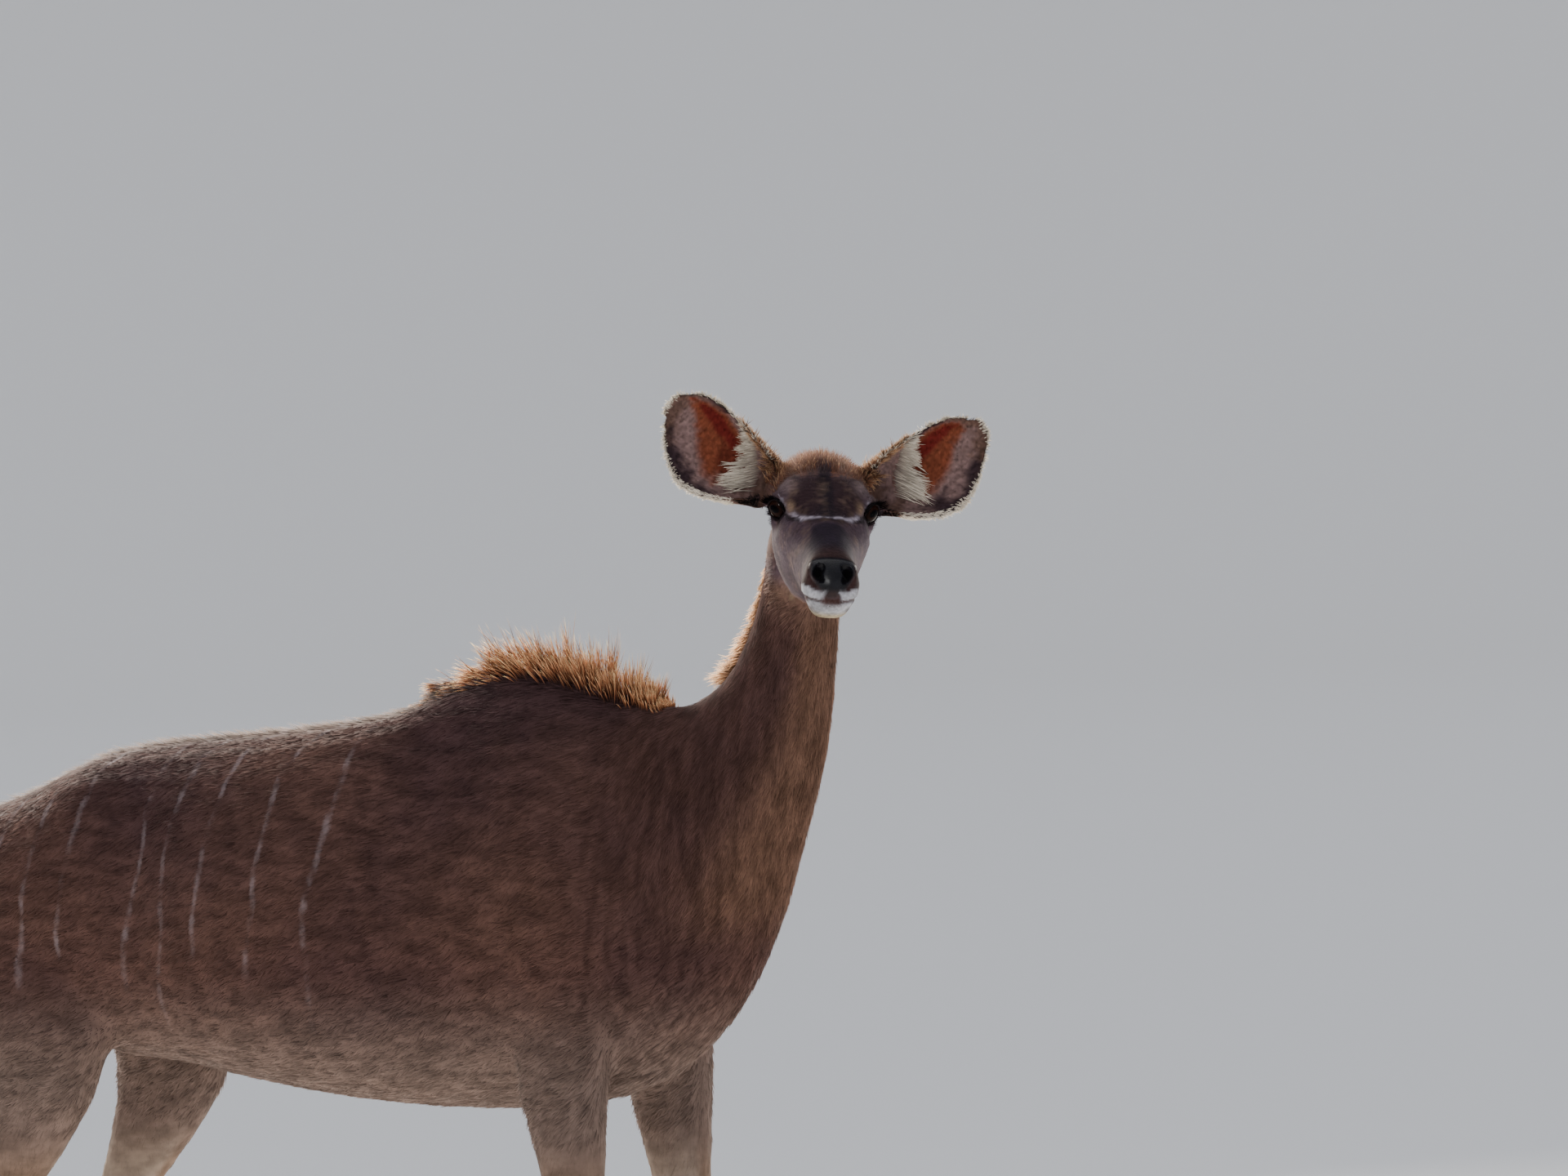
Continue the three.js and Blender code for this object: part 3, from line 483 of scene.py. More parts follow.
def tint(red, green, blue):
    c = np.array([red, green, blue]) / 255
    return np.where(c <= 0.04045, c / 12.92, ((c + 0.055) / 1.055) ** 2.4)


COAT_TONE = 0.62
BODY = tint(104, 76, 66)
BODY_DARK = tint(56, 40, 46)
BELLY = tint(140, 124, 114)
THROAT = tint(122, 92, 76)
CHEEK = tint(70, 55, 62)
CHEEK_PALE = tint(96, 82, 92)
FOREHEAD = tint(50, 35, 38)
STREAK = tint(34, 25, 31)
POLL = tint(116, 76, 56)
BROW = tint(118, 100, 100)
BROW_TAN = tint(146, 120, 98)
CHEVRON = tint(176, 166, 178)
NASAL = tint(34, 25, 36)
MUZZLE = tint(56, 39, 38)
NOSE = tint(15, 14, 20)
# Painted shade inside the nostrils
NOSTRIL_SHADE = tint(5, 4, 5)
LIP = tint(170, 170, 176)
CHIN = tint(160, 145, 118)
MOUTH_SKIN = tint(78, 54, 50)
TEAR = tint(30, 21, 24)
EAR_BACK = tint(108, 90, 84)
# The red and the orange of the ear's cup are painted glow: light shining through the thin ear, painted into
# its colour
EAR_GLOW_RED = tint(104, 32, 30)
EAR_GLOW_ORANGE = tint(126, 68, 48)
EAR_PINK = tint(134, 108, 104)
EAR_DARK = tint(58, 44, 48)
EAR_RIM = tint(98, 74, 64)
EAR_CREAM = tint(240, 226, 206)
LEG = tint(132, 106, 84)
LEG_DARK = tint(70, 54, 48)
GARTER = tint(228, 218, 204)
TAIL_DARK = tint(52, 42, 40)
MANE_ROOT = tint(84, 58, 48)
MANE_MIDDLE = tint(172, 106, 68)
# The pale tips of the long hair: their own pale tawny colour, made brighter as painted glow of light shining
# through them
MANE_TIP_AND_GLOW = tint(240, 192, 144)


def bump_at(h, centre, reach):
    """A soft spot of the given reaches about a place, on both sides of the head."""
    spots = 0
    for side in ((-1, 1) if centre[1] else (1,)):
        off = (h - np.array(centre) * np.array([1, side, 1])) / np.array(reach)
        spots = spots + np.exp(-(off**2).sum(1))
    return spots


def nostrils(h):
    return np.minimum(1, bump_at(h, (317, 19, -4), (14, 7, 7)) + bump_at(h, (322, 12, -10), (10, 5.5, 5.5)))


# The pale line over the nose, from its middle to the eyes: places along the head and away from its middle
CHEVRON_LINE = ((188, 0), (186, 9), (175, 27), (163, 38), (140, 49), (126, 56))
# The dark line of the tear duct, in the head's millimetres
TEAR_LINE = ((141, 51, 15), (154, 45, 14), (168, 36, 18))
# The pale edge of the jaw, a painted rim of light along it
JAW_RIM_LIGHT_LINE = ((60, 55, -60), (58, 50, -88), (66, 42, -108), (80, 27, -126))


def off_line(q, line):
    """How far places are from a line of several stretches."""
    line = np.array(line, float)
    best = np.full(len(q), 1e9)
    for a, b in zip(line, line[1:]):
        t = np.clip((q - a) @ (b - a) / ((b - a) @ (b - a)), 0, 1)
        best = np.minimum(best, np.linalg.norm(q - a - t[:, None] * (b - a), axis=1))
    return best


def head_colours(h):
    """Colours of the face, without the ears, at places of the head's frame."""
    x, y, z = h.T
    a = np.abs(y)
    ragged = wander(h, 26, 3) * 5 + wander(h, 9, 4) * 3
    colour = mix(np.tile(CHEEK, (len(h), 1)), BODY, ramp(70, 10, x))
    colour = mix(colour, CHEEK_PALE, ramp(30, 60, a) * ramp(120, 160, x) * ramp(-90, -50, z) * 0.5)
    colour = mix(colour, CHEEK_PALE, ramp(-70, -96, z) * ramp(260, 200, x) * 0.6)
    colour = mix(colour, THROAT, ramp(-88, -116, z) * 0.8)
    # A pale band along the edge of the jaw: painted rim light
    from_jaw_rim = off_line(np.stack([x, a, z], -1), JAW_RIM_LIGHT_LINE)
    colour = mix(colour, CHIN, ramp(8, 2, from_jaw_rim + ragged * 0.4) * 0.45)
    top = ramp(16, 30, z + ragged * 0.4)
    colour = mix(colour, FOREHEAD, top * ramp(84, 100, x + ragged) * ramp(206, 192, x) * ramp(52, 42, a))
    colour = mix(colour, STREAK, top * ramp(64, 92, x) * ramp(196, 180, x) * ramp(11, 5, a + ragged * 0.3))
    colour = mix(colour, STREAK, top * ramp(150, 176, x) * ramp(200, 190, x) * ramp(40, 26, a) * 0.6)
    colour = mix(colour, POLL, ramp(26, 40, z + ragged * 0.6) * ramp(96, 72, x + ragged + (a < 9) * 14))
    colour = mix(colour, BROW, np.minimum(1, bump_at(h, (104, 50, 44), (20, 13, 10)) * 1.1) * 0.9)
    tan = np.clip(bump_at(h, (138, 45, 25), (16, 5, 7)) * 1.2 + ragged * 0.03, 0, 1)
    colour = mix(colour, BROW_TAN, tan * 0.7)
    band = ramp(-6, 8, z) * ramp(196, 206, x) * ramp(322, 300, x)
    colour = mix(colour, NASAL, band * ramp(36, 18, a - (x - 240) * 0.1 + ragged * 0.3) * 0.95)
    line = off_line(np.stack([x + ragged * 0.2, a], -1), CHEVRON_LINE)
    faint = 0.3 + 0.55 * ramp(4, 14, a) * ramp(44, 36, a) + 0.25 * wander(h, 8, 6)
    colour = mix(colour, CHEVRON, np.exp(-((line / 2.2) ** 2)) * ramp(8, 16, z) * np.clip(faint, 0, 1))
    for side in (-1, 1):
        uv, r = about_eye(h, side)
        near = (r < 46) & (y * side > 0)
        inside = between_lids(uv)
        colour = mix(colour, CHEEK_PALE, near * np.exp(-(((inside + 8) / 4) ** 2)) * (uv[:, 1] < 0) * 0.6)
        colour = mix(colour, TEAR, (r < 26) * near * ramp(-3.6, -1.6, inside))
    duct = off_line(np.stack([x, a, z], -1), TEAR_LINE)
    colour = mix(colour, TEAR, ramp(4.5, 2.0, duct + ragged * 0.2) * 0.85)
    snout = ramp(262, 300, x)
    colour = mix(colour, MUZZLE, snout * ramp(-44, -22, z))
    off, _ = mouth_off(h)
    pad = ramp(306, 313, x - ramp(12, 26, a) * 2) * ramp(31, 25, a + np.maximum(0, -z - 4) * 0.8)
    colour = mix(colour, NOSE, pad * ramp(-26, -16, z))
    colour = mix(colour, NOSE, ramp(300, 308, x) * ramp(4, 10, z) * ramp(34, 28, a))
    # The nostrils are painted near-black inside: painted shade in the holes
    colour = mix(colour, NOSTRIL_SHADE, ramp(0.3, 0.65, nostrils(h)))
    edge = 5 + 6 * ramp(-18, -30, z)
    patch = ramp(0.5, 3.5, off) * ramp(17, 12, off + ragged * 0.3)
    patch = patch * ramp(edge - 2, edge + 3, a + ragged * 0.2)
    colour = mix(colour, LIP, patch * ramp(280, 290, x + ragged * 0.5) * ramp(340, 334, x))
    tapered = ramp(33, 27, a + ramp(-50, -66, z) * 6 + ragged * 0.4)
    chin = ramp(-0.5, -3, off) * ramp(262, 276, x + ragged * 0.6) * tapered
    colour = mix(colour, mix(np.tile(LIP, (len(h), 1)), CHIN, ramp(-50, -62, z)), chin)
    blotch = np.exp(-(((a - 24) / 4) ** 2) - (((z + 52) / 3.5) ** 2)) * ramp(290, 300, x)
    colour = mix(colour, MOUTH_SKIN, blotch * 0.7)
    # A darker line along the mouth: painted shade in its groove
    colour = mix(colour, MOUTH_SKIN * 0.7, np.exp(-((off / 1.9) ** 2)) * ramp(226, 240, x) * 0.95)
    front = ramp(318, 328, x) * ramp(16, 9, a) * np.exp(-(((off + 0.5) / 4.5) ** 2))
    colour = mix(colour, MOUTH_SKIN, front)
    mottled = 1 + 0.16 * wander(h, 7, 14) + 0.13 * wander(h, 3.5, 15)
    return colour * mottled[:, None]


def ear_colours(h, ways, side, colour):
    """Lays the colours of one ear over those given."""
    along, across, depth = in_ear(h, side)
    opening = ear_frame(side)[1]
    inner = ramp(-0.05, 0.3, ways @ opening) * (depth > -60)
    ragged = wander(h, 40, 8) * 0.05 + wander(h, 12, 9) * 0.03
    s, v = along + ragged, across + ragged * 1.6
    back = mix(np.tile(EAR_BACK, (len(h), 1)), POLL, ramp(0.5, 0.1, s) * 0.7)
    back = mix(back, EAR_DARK, ramp(0.6, 0.95, s) * 0.5)
    cup = np.tile(EAR_PINK, (len(h), 1))
    cup = mix(cup, EAR_DARK, ramp(-0.62, -0.84, v + 0.2 * ramp(0.5, 0.1, s)) * ramp(0.12, 0.4, s))
    cup = mix(cup, EAR_RIM, ramp(0.84, 0.97, s + 0.1 * np.abs(v)) * 0.9)
    cup = mix(cup, EAR_DARK, ramp(0.78, 0.9, v) * ramp(0.85, 0.7, s))
    lean = v - (s - 0.58) * 1.1
    # The orange and red patches in the cup are painted glow of light shining through the ear; the darker red
    # deeper in the cup is a dimmer part of the same painted glow
    spot = ((s - 0.57) / 0.29) ** 2 + ((lean - 0.14) / 0.66) ** 2
    cup = mix(cup, EAR_GLOW_ORANGE, ramp(1.3, 0.6, spot))
    glow_redder = ((s - 0.6) / 0.19) ** 2 + ((lean - 0.32) / 0.3) ** 2
    cup = mix(cup, EAR_GLOW_RED, ramp(1.3, 0.3, glow_redder) * 0.9)
    deep = ((s - 0.4) / 0.12) ** 2 + ((v + 0.2) / 0.3) ** 2
    cup = mix(cup, EAR_GLOW_RED * 0.5, ramp(1.2, 0.3, deep) * 0.6)
    cup = mix(cup, EAR_RIM, ramp(0.24, 0.1, s) * 0.8)
    speckled = 1 + 0.2 * wander(h, 5, 16) + 0.16 * wander(h, 2.6, 17)
    speckled = speckled + 0.14 * wander(h * np.array([0.35, 1, 1]), 6, 18)
    cup = cup * speckled[:, None]
    new = mix(back, cup, inner)
    return mix(colour, new, ramp(0.04, 0.14, along))


def coat_colours(p, ways):
    """Colours of skin and coat at places of the shared frame with their ways out of the skin."""
    a = (p * 1000) - STANCE
    x, y, z = a.T
    ragged = wander(p, 0.3, 1) * 0.5 + wander(p, 0.06, 2) * 0.2
    colour = mix(np.tile(BODY, (len(p), 1)), BODY_DARK, np.clip(0.4 + ragged * 0.25, 0, 1))
    colour = mix(colour, BODY_DARK, ramp(1100, 1230, z) * ramp(120, 260, x) * ramp(560, 480, x) * 0.6)
    colour = mix(colour, BELLY, ramp(900, 740, z) * ramp(-600, -500, x) * 0.5)
    colour = mix(colour, THROAT, ramp(0.2, 0.8, ways[:, 0]) * ramp(540, 660, x) * ramp(900, 1000, z) * 0.8)
    back_line = np.exp(-((y / 16) ** 2)) * ramp(0.4, 0.8, ways[:, 2]) * ramp(300, 150, x)
    colour = mix(colour, BELLY, back_line * 0.8)
    leg = ramp(700, 560, z)
    colour = mix(colour, LEG, leg * 0.85)
    within = ramp(0.1, 0.6, -ways[:, 1] * np.sign(y)) * (np.abs(y) > 60)
    colour = mix(colour, GARTER, within * leg * 0.3)
    colour = mix(colour, LEG_DARK, ramp(150, 120, z) * ramp(0.1, -0.5, ways[:, 0]))
    colour = mix(colour, GARTER, ramp(128, 112, z) * ramp(56, 66, z) * ramp(0.1, 0.6, ways[:, 0]))
    tail = (x < -604) * (np.abs(y) < 40) * (z > 600) * (z < 1040)
    colour = mix(colour, GARTER, tail * ramp(0.1, 0.6, ways[:, 0]) * 0.9)
    colour = mix(colour, TAIL_DARK, tail * ramp(760, 700, z))
    h = to_head(p)
    turned = ways @ HEAD_AXES.T
    head = head_share(p)
    near = head > 0
    face = head_colours(h[near])
    for side in (-1, 1):
        mine = (h[near, 1] * side > 44) & (in_ear(h[near], side)[0] > 0.03)
        face[mine] = ear_colours(h[near][mine], turned[near][mine], side, face[mine])
    colour[near] = mix(colour[near], face, head[near])
    return np.clip(colour, 0, 1) * COAT_TONE


def wetness(p):
    """1 on the bare, moist skin of the nose and 0 on the coat."""
    h = to_head(p)
    x, y, z = h.T
    a = np.abs(y)
    off, _ = mouth_off(h)
    pad = ramp(304, 312, x) * ramp(34, 26, a + np.maximum(0, -z - 6) * 0.9) * ramp(-34, -28, z)
    pad = pad * (1 - ramp(0.2, 0.5, nostrils(h)))
    return np.maximum(pad, np.exp(-((off / 2) ** 2)) * ramp(240, 260, x) * 0.7)


def set_colours(thing, colours, name="coat"):
    layer = thing.data.attributes.new(name, "FLOAT_COLOR", "POINT")
    full = np.ones((len(colours), 4), np.float32)
    full[:, :3] = colours
    layer.data.foreach_set("color", full.ravel())


def set_values(thing, values, name):
    layer = thing.data.attributes.new(name, "FLOAT", "POINT")
    layer.data.foreach_set("value", np.asarray(values, np.float32))


# Materials

# Places along the back, in her own millimetres, from which the thin pale stripes run down
STRIPES = (128, 40, -52, -117, -174, -281, -343, -414)


class Nodes:
    """Short ways to write a node tree."""

    def __init__(self, tree):
        self.tree = tree

    def add(self, kind, **settings):
        made = self.tree.nodes.new("ShaderNode" + kind)
        for key, value in settings.items():
            setattr(made, key, value)
        return made

    def put(self, socket, value):
        if isinstance(value, bpy.types.NodeSocket):
            self.tree.links.new(value, socket)
        else:
            socket.default_value = value

    def sums(self, operation, *values, clamp=False):
        made = self.add("Math", operation=operation, use_clamp=clamp)
        for socket, value in zip(made.inputs, values):
            self.put(socket, value)
        return made.outputs[0]

    def span(self, value, low, high, start=0.0, end=1.0):
        made = self.add("MapRange", interpolation_type="SMOOTHSTEP")
        ends = {"Value": value, "From Min": low, "From Max": high, "To Min": start, "To Max": end}
        for name, v in ends.items():
            self.put(made.inputs[name], v)
        return made.outputs[0]

    def blend(self, share, a, b, kind="MIX"):
        made = self.add("Mix", data_type="RGBA", blend_type=kind, clamp_result=True)
        self.put(made.inputs[0], share)
        self.put(made.inputs[6], a)
        self.put(made.inputs[7], b)
        return made.outputs[2]

    def noise(self, place, scale, detail=3.0, stretch=(1, 1, 1)):
        moved = self.add("Mapping")
        self.put(moved.inputs["Vector"], place)
        moved.inputs["Scale"].default_value = stretch
        made = self.add("TexNoise")
        self.put(made.inputs["Vector"], moved.outputs[0])
        made.inputs["Scale"].default_value = scale
        made.inputs["Detail"].default_value = detail
        return made.outputs["Fac"]


def markings_group():
    """The thin pale stripes and the small unevenness of her colour, over a colour that is handed in."""
    tree = bpy.data.node_groups.new("markings", "ShaderNodeTree")
    face = tree.interface
    face.new_socket("Colour", in_out="INPUT", socket_type="NodeSocketColor")
    face.new_socket("Colour", in_out="OUTPUT", socket_type="NodeSocketColor")
    n = Nodes(tree)
    source, sink = tree.nodes.new("NodeGroupInput"), tree.nodes.new("NodeGroupOutput")
    place = n.add("TexCoord").outputs["Object"]
    parts = n.add("SeparateXYZ")
    n.put(parts.inputs[0], place)
    x, y, z = parts.outputs
    wave = n.sums("ADD", n.noise(place, 7.0, 2.0), n.sums("MULTIPLY", n.noise(place, 260.0, 2.0), 0.13))
    lean = n.sums("MULTIPLY", n.sums("SUBTRACT", 1.15, z), 0.07)
    run = n.sums("ADD", x, n.sums("ADD", lean, n.sums("MULTIPLY", n.sums("SUBTRACT", wave, 0.5), 0.05)))
    total = 0.0
    for i, at in enumerate(STRIPES):
        off = n.sums("ABSOLUTE", n.sums("SUBTRACT", run, (at + float(STANCE[0])) / 1000))
        line = n.span(off, 0.0065, 0.001)
        down = n.span(z, 0.80 + 0.05 * (i % 3), 0.92)
        total = n.sums("MAXIMUM", total, n.sums("MULTIPLY", line, down))
    top = n.span(z, 1.215, 1.19)
    front = n.span(x, 0.06, 0.0)
    worn = n.span(n.noise(place, 30.0, 5.0), 0.4, 0.64, 0.04, 1.0)
    total = n.sums("MULTIPLY", n.sums("MULTIPLY", total, top), n.sums("MULTIPLY", front, worn))
    patchy = n.span(n.noise(place, 90.0, 4.0), 0.3, 0.7, 0.92, 1.08)
    down_the_neck = n.span(n.noise(place, 70.0, 4.0, (1, 1, 0.16)), 0.3, 0.7, 0.74, 1.24)
    along_the_trunk = n.span(n.noise(place, 60.0, 4.0, (0.3, 1, 1)), 0.3, 0.7, 0.76, 1.22)
    streaked = n.add("Mix", data_type="FLOAT")
    n.put(streaked.inputs[0], n.span(x, 0.26, 0.38))
    n.put(streaked.inputs[2], along_the_trunk)
    n.put(streaked.inputs[3], down_the_neck)
    on_trunk = n.sums("MULTIPLY", n.span(z, 0.5, 0.7), n.span(z, 1.44, 1.36))
    uneven = n.add("Mix", data_type="FLOAT")
    n.put(uneven.inputs[0], on_trunk)
    n.put(uneven.inputs[2], patchy)
    n.put(uneven.inputs[3], n.sums("MULTIPLY", patchy, streaked.outputs[0]))
    colour = n.blend(1.0, source.outputs[0], uneven.outputs[0], "MULTIPLY")
    pale = (*tint(160, 148, 152), 1)
    n.put(sink.inputs[0], n.blend(n.sums("MULTIPLY", total, 0.23), colour, pale))
    return tree


MARKINGS = markings_group()


def coat_material(name, roughness, wet=False, bump=0.35):
    made = bpy.data.materials.new(name)
    made.use_nodes = True
    n = Nodes(made.node_tree)
    shader = made.node_tree.nodes["Principled BSDF"]
    colour = n.add("Attribute", attribute_name="coat").outputs["Color"]
    group = n.add("Group", node_tree=MARKINGS)
    n.put(group.inputs[0], colour)
    n.put(shader.inputs["Base Color"], group.outputs[0])
    shader.inputs["Roughness"].default_value = roughness
    shader.inputs["Specular IOR Level"].default_value = 0.02
    shader.inputs["Sheen Weight"].default_value = 0.02
    shader.inputs["Sheen Roughness"].default_value = 0.4
    if wet:
        shader.inputs["Coat Roughness"].default_value = 0.35
        place = n.add("TexCoord").outputs["Object"]
        moist = n.add("Attribute", attribute_name="wet").outputs["Fac"]
        n.put(shader.inputs["Roughness"], n.span(moist, 0.1, 0.7, roughness, 0.4))
        n.put(shader.inputs["Coat Weight"], n.span(moist, 0.3, 0.8, 0.0, 0.25))
        fur = n.noise(place, 420.0, 3.0, (1, 1, 0.35))
        cells = n.add("TexVoronoi", feature="DISTANCE_TO_EDGE")
        n.put(cells.inputs["Vector"], place)
        cells.inputs["Scale"].default_value = 380.0
        pebble = n.span(cells.outputs["Distance"], 0.0, 0.35)
        height = n.add("Mix", data_type="FLOAT")
        n.put(height.inputs[0], moist)
        n.put(height.inputs[2], fur)
        n.put(height.inputs[3], pebble)
        relief = n.add("Bump")
        relief.inputs["Strength"].default_value = bump
        relief.inputs["Distance"].default_value = 0.0015
        n.put(relief.inputs["Height"], height.outputs[0])
        n.put(shader.inputs["Normal"], relief.outputs[0])
    return made


SKIN_MATERIAL = coat_material("skin", 0.75, wet=True)
HAIR_MATERIAL = coat_material("hair", 0.7)

skin_points, skin_faces = make_skin()
skin_normals = vertex_normals(skin_points, skin_faces)
skin_colours = coat_colours(skin_points, skin_normals)
skin = mesh_object("skin", skin_points, skin_faces)
set_colours(skin, skin_colours)
set_values(skin, wetness(skin_points), "wet")
skin.data.materials.append(SKIN_MATERIAL)
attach(skin, "root")
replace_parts(skin, *[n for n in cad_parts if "hoof" not in n and not n.startswith("eye")])

# The coat: closed tapered tufts, rooted in the skin and laid along it


def strands(root, out, lie, length, width, lift, curl, sway, rings, flat=0.5):
    """Tufts as points (tufts, points of one, 3), the faces of one, and for each point of one its share of the
    way to the tip and its side."""
    side = unit(np.cross(lie, out))
    at = root - out * 0.0008
    points, shares, sides = [], [], []
    for i in range(rings + 1):
        share = i / rings
        angle, turn = (lift + curl * share)[:, None], (sway * share)[:, None]
        ahead = lie * np.cos(turn) + side * np.sin(turn)
        if i:
            at = at + (ahead * np.cos(angle) + out * np.sin(angle)) * (length / rings)[:, None]
        if i == rings:
            points.append(at)
            shares.append(1.0)
            sides.append(0.0)
            break
        up = out * np.cos(angle) - ahead * np.sin(angle)
        half = (width / 2 * np.interp(share, (0, 0.4, 0.75, 1), (0.8, 1, 0.65, 0.2)))[:, None]
        points += [at - side * half, at + side * half, at + up * half * 2 * flat]
        shares += [share] * 3
        sides += [-1.0, 1.0, 0.0]
    faces = [(0, 1, 2)]
    for i in range(rings):
        for k in range(3):
            a, b = 3 * i + k, 3 * i + (k + 1) % 3
            if i == rings - 1:
                faces.append((b, a, 3 * rings))
            else:
                faces += [(b, a, a + 3), (b, a + 3, b + 3)]
    return np.stack(points, 1), np.array(faces), np.array(shares), np.array(sides)


def hair_piece(name, tufts, spot, outs, stops, soft=0.6, shade=(0.72, 1.12), vary=0.12, seed=0,
               material=None, wear="hide"):
    """Joins tufts to one piece. Stops are its colours at shares of the way to the tips, one colour or one for
    each tuft; each tuft's patch of OFBake lies at its spot."""
    points, faces, shares, sides = tufts
    count, each = points.shape[:2]
    every = (faces[None] + np.arange(count)[:, None, None] * each).reshape(-1, 3)
    piece = mesh_object(name, points.reshape(-1, 3), every)
    draw = np.random.default_rng(seed)
    own = draw.uniform(1 - vary, 1 + vary, (count, 1, 1))
    full = np.zeros((count, each, 3))
    at = [a for a, _ in stops]
    for k, (_, colour) in enumerate(stops):
        part = np.interp(shares, at, np.eye(len(at))[k])
        full += np.broadcast_to(colour, (count, 3))[:, None] * part[None, :, None]
    # Each tuft is darker at its root and lighter at its tip: painted shade at the roots and painted light at
    # the tips
    full *= (shade[0] + (shade[1] - shade[0]) * shares)[None, :, None] * own
    set_colours(piece, np.clip(full.reshape(-1, 3), 0, 1))
    normals = np.empty(count * each * 3, np.float32)
    piece.data.vertices.foreach_get("normal", normals)
    normals = normals.reshape(count, each, 3)
    piece.data.normals_split_custom_set_from_vertices(
        unit(normals * (1 - soft) + outs[:, None] * soft).reshape(-1, 3))
    patch = np.stack([sides * 0.0015, (shares - 0.5) * 0.003], -1)
    uv = np.clip(spot[:, None] * 0.99 + 0.005 + patch[None], 0.001, 0.999).reshape(-1, 2)
    corners = np.empty(len(every) * 3, np.int32)
    piece.data.loops.foreach_get("vertex_index", corners)
    layer = piece.data.uv_layers.new(name="OFBake")
    layer.data.foreach_set("uv", uv[corners].astype(np.float32).ravel())
    piece.data.materials.append(material or HAIR_MATERIAL)
    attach(piece, "root")
    print(name, count, "tufts", len(every), "triangles")
    return piece


SKIN_TRIANGLES = triangles(skin_faces)
corner = [skin_points[SKIN_TRIANGLES[:, i]] for i in range(3)]
TRIANGLE_AREA = np.linalg.norm(np.cross(corner[1] - corner[0], corner[2] - corner[0]), axis=1) / 2


def sprinkled(weight, count, draw):
    """Roots spread over the skin by a weight for each of its points, as the corners of the triangle that each
    lies in and the shares of these."""
    chance = TRIANGLE_AREA * weight[SKIN_TRIANGLES].mean(1)
    total = np.cumsum(chance)
    pick = np.searchsorted(total, (np.arange(count) + draw.random(count)) / count * total[-1])
    pick = np.minimum(pick, len(chance) - 1)
    r1, r2 = np.sqrt(draw.random(count)), draw.random(count)
    return SKIN_TRIANGLES[pick], np.stack([1 - r1, r1 * (1 - r2), r1 * r2], -1)


def there(values, corners, shares):
    values = np.asarray(values)
    if values.ndim == 1:
        return (values[corners] * shares).sum(1)
    return (values[corners] * shares[..., None]).sum(1)


# Shares of the parts of her body at each point of the skin
own = skin_points * 1000 - STANCE
in_head = to_head(skin_points)
HEAD = head_share(skin_points) * (1 - ear_share(skin_points))
EAR = ear_share(skin_points)
NECK = ramp(470, 560, own[:, 0] + (own[:, 2] - 1100) * 0.3) * ramp(900, 1000, own[:, 2]) * (1 - HEAD - EAR)
TAIL = ((own[:, 0] < -604) & (np.abs(own[:, 1]) < 42) & (own[:, 2] < 1060)).astype(float)
LEGS = ramp(760, 600, own[:, 2]) * (1 - TAIL)
CREST = ramp(26, 6, np.abs(own[:, 1])) * ramp(0.4, 0.8, skin_normals[:, 2]) * (1 - NECK) * (1 - HEAD - EAR)


def lie_of_coat():
    """The way in which the hair lies at each point of the skin."""
    side = np.sign(own[:, 1])[:, None] * np.array([0.0, 1, 0])
    way = np.tile([-1.0, 0, -0.5], (len(own), 1))
    way = mix(way, np.array([-1.0, 0, -0.15]), CREST)
    way = mix(way, np.array([-0.42, 0, -0.9]), NECK)
    way = mix(way, np.array([-0.12, 0, -1.0]), LEGS)
    way = mix(way, np.array([-0.2, 0, -1.0]), TAIL) + side * 0.02
    face = np.stack([-np.ones(len(own)), in_head[:, 1] / 260, -0.1 - 0.3 * ramp(20, -60, in_head[:, 2])], -1)
    way = mix(way, face @ HEAD_AXES, np.clip(HEAD, 0, 1))
    for which in (-1, 1):
        axis, opening, crown = ear_frame(which)
        mine = (EAR > 0.01) & (in_head[:, 1] * which > 0)
        outwards = axis + crown * np.clip(in_ear(in_head, which)[1], -1, 1)[:, None] * 0.35
        way[mine] = mix(way[mine], (outwards @ HEAD_AXES)[mine], EAR[mine])
    way = way - skin_normals * (way * skin_normals).sum(1, keepdims=True)
    return unit(way)


LIE = lie_of_coat()


def around(p, first, last):
    """The angle round a line and the share along it, both from 0 to 1."""
    first, last = np.array(first), np.array(last)
    axis = unit(last - first)
    one = unit(np.cross(axis, np.array([0.0, 1, 0])))
    two = np.cross(axis, one)
    q = p - first
    angle = np.arctan2(q @ two, q @ one) / (2 * math.pi) + 0.5
    return np.stack([angle, np.clip(q @ axis / np.linalg.norm(last - first), 0, 1)], -1)


def trunk_spot(p):
    return around(p, (-0.82, 0.033, 0.95), (0.62, 0.033, 0.95))


def neck_spot(p):
    return around(p, (0.34, 0.033, 0.92), (0.62, 0.02, 1.5))


def head_spot(p):
    return around(p, from_head((-60, 0, -30)), from_head((350, 0, -30)))


def ear_spot(p):
    h = to_head(p)
    spot = np.zeros((len(p), 2))
    for side in (-1, 1):
        along, across, depth = in_ear(h, side)
        mine = h[:, 1] * side > 0
        spot[mine, 0] = (np.clip(across[mine], -1, 1) + 1) / 4 + (0.5 if side > 0 else 0)
        spot[mine, 1] = np.clip(along[mine], 0, 1)
    return spot


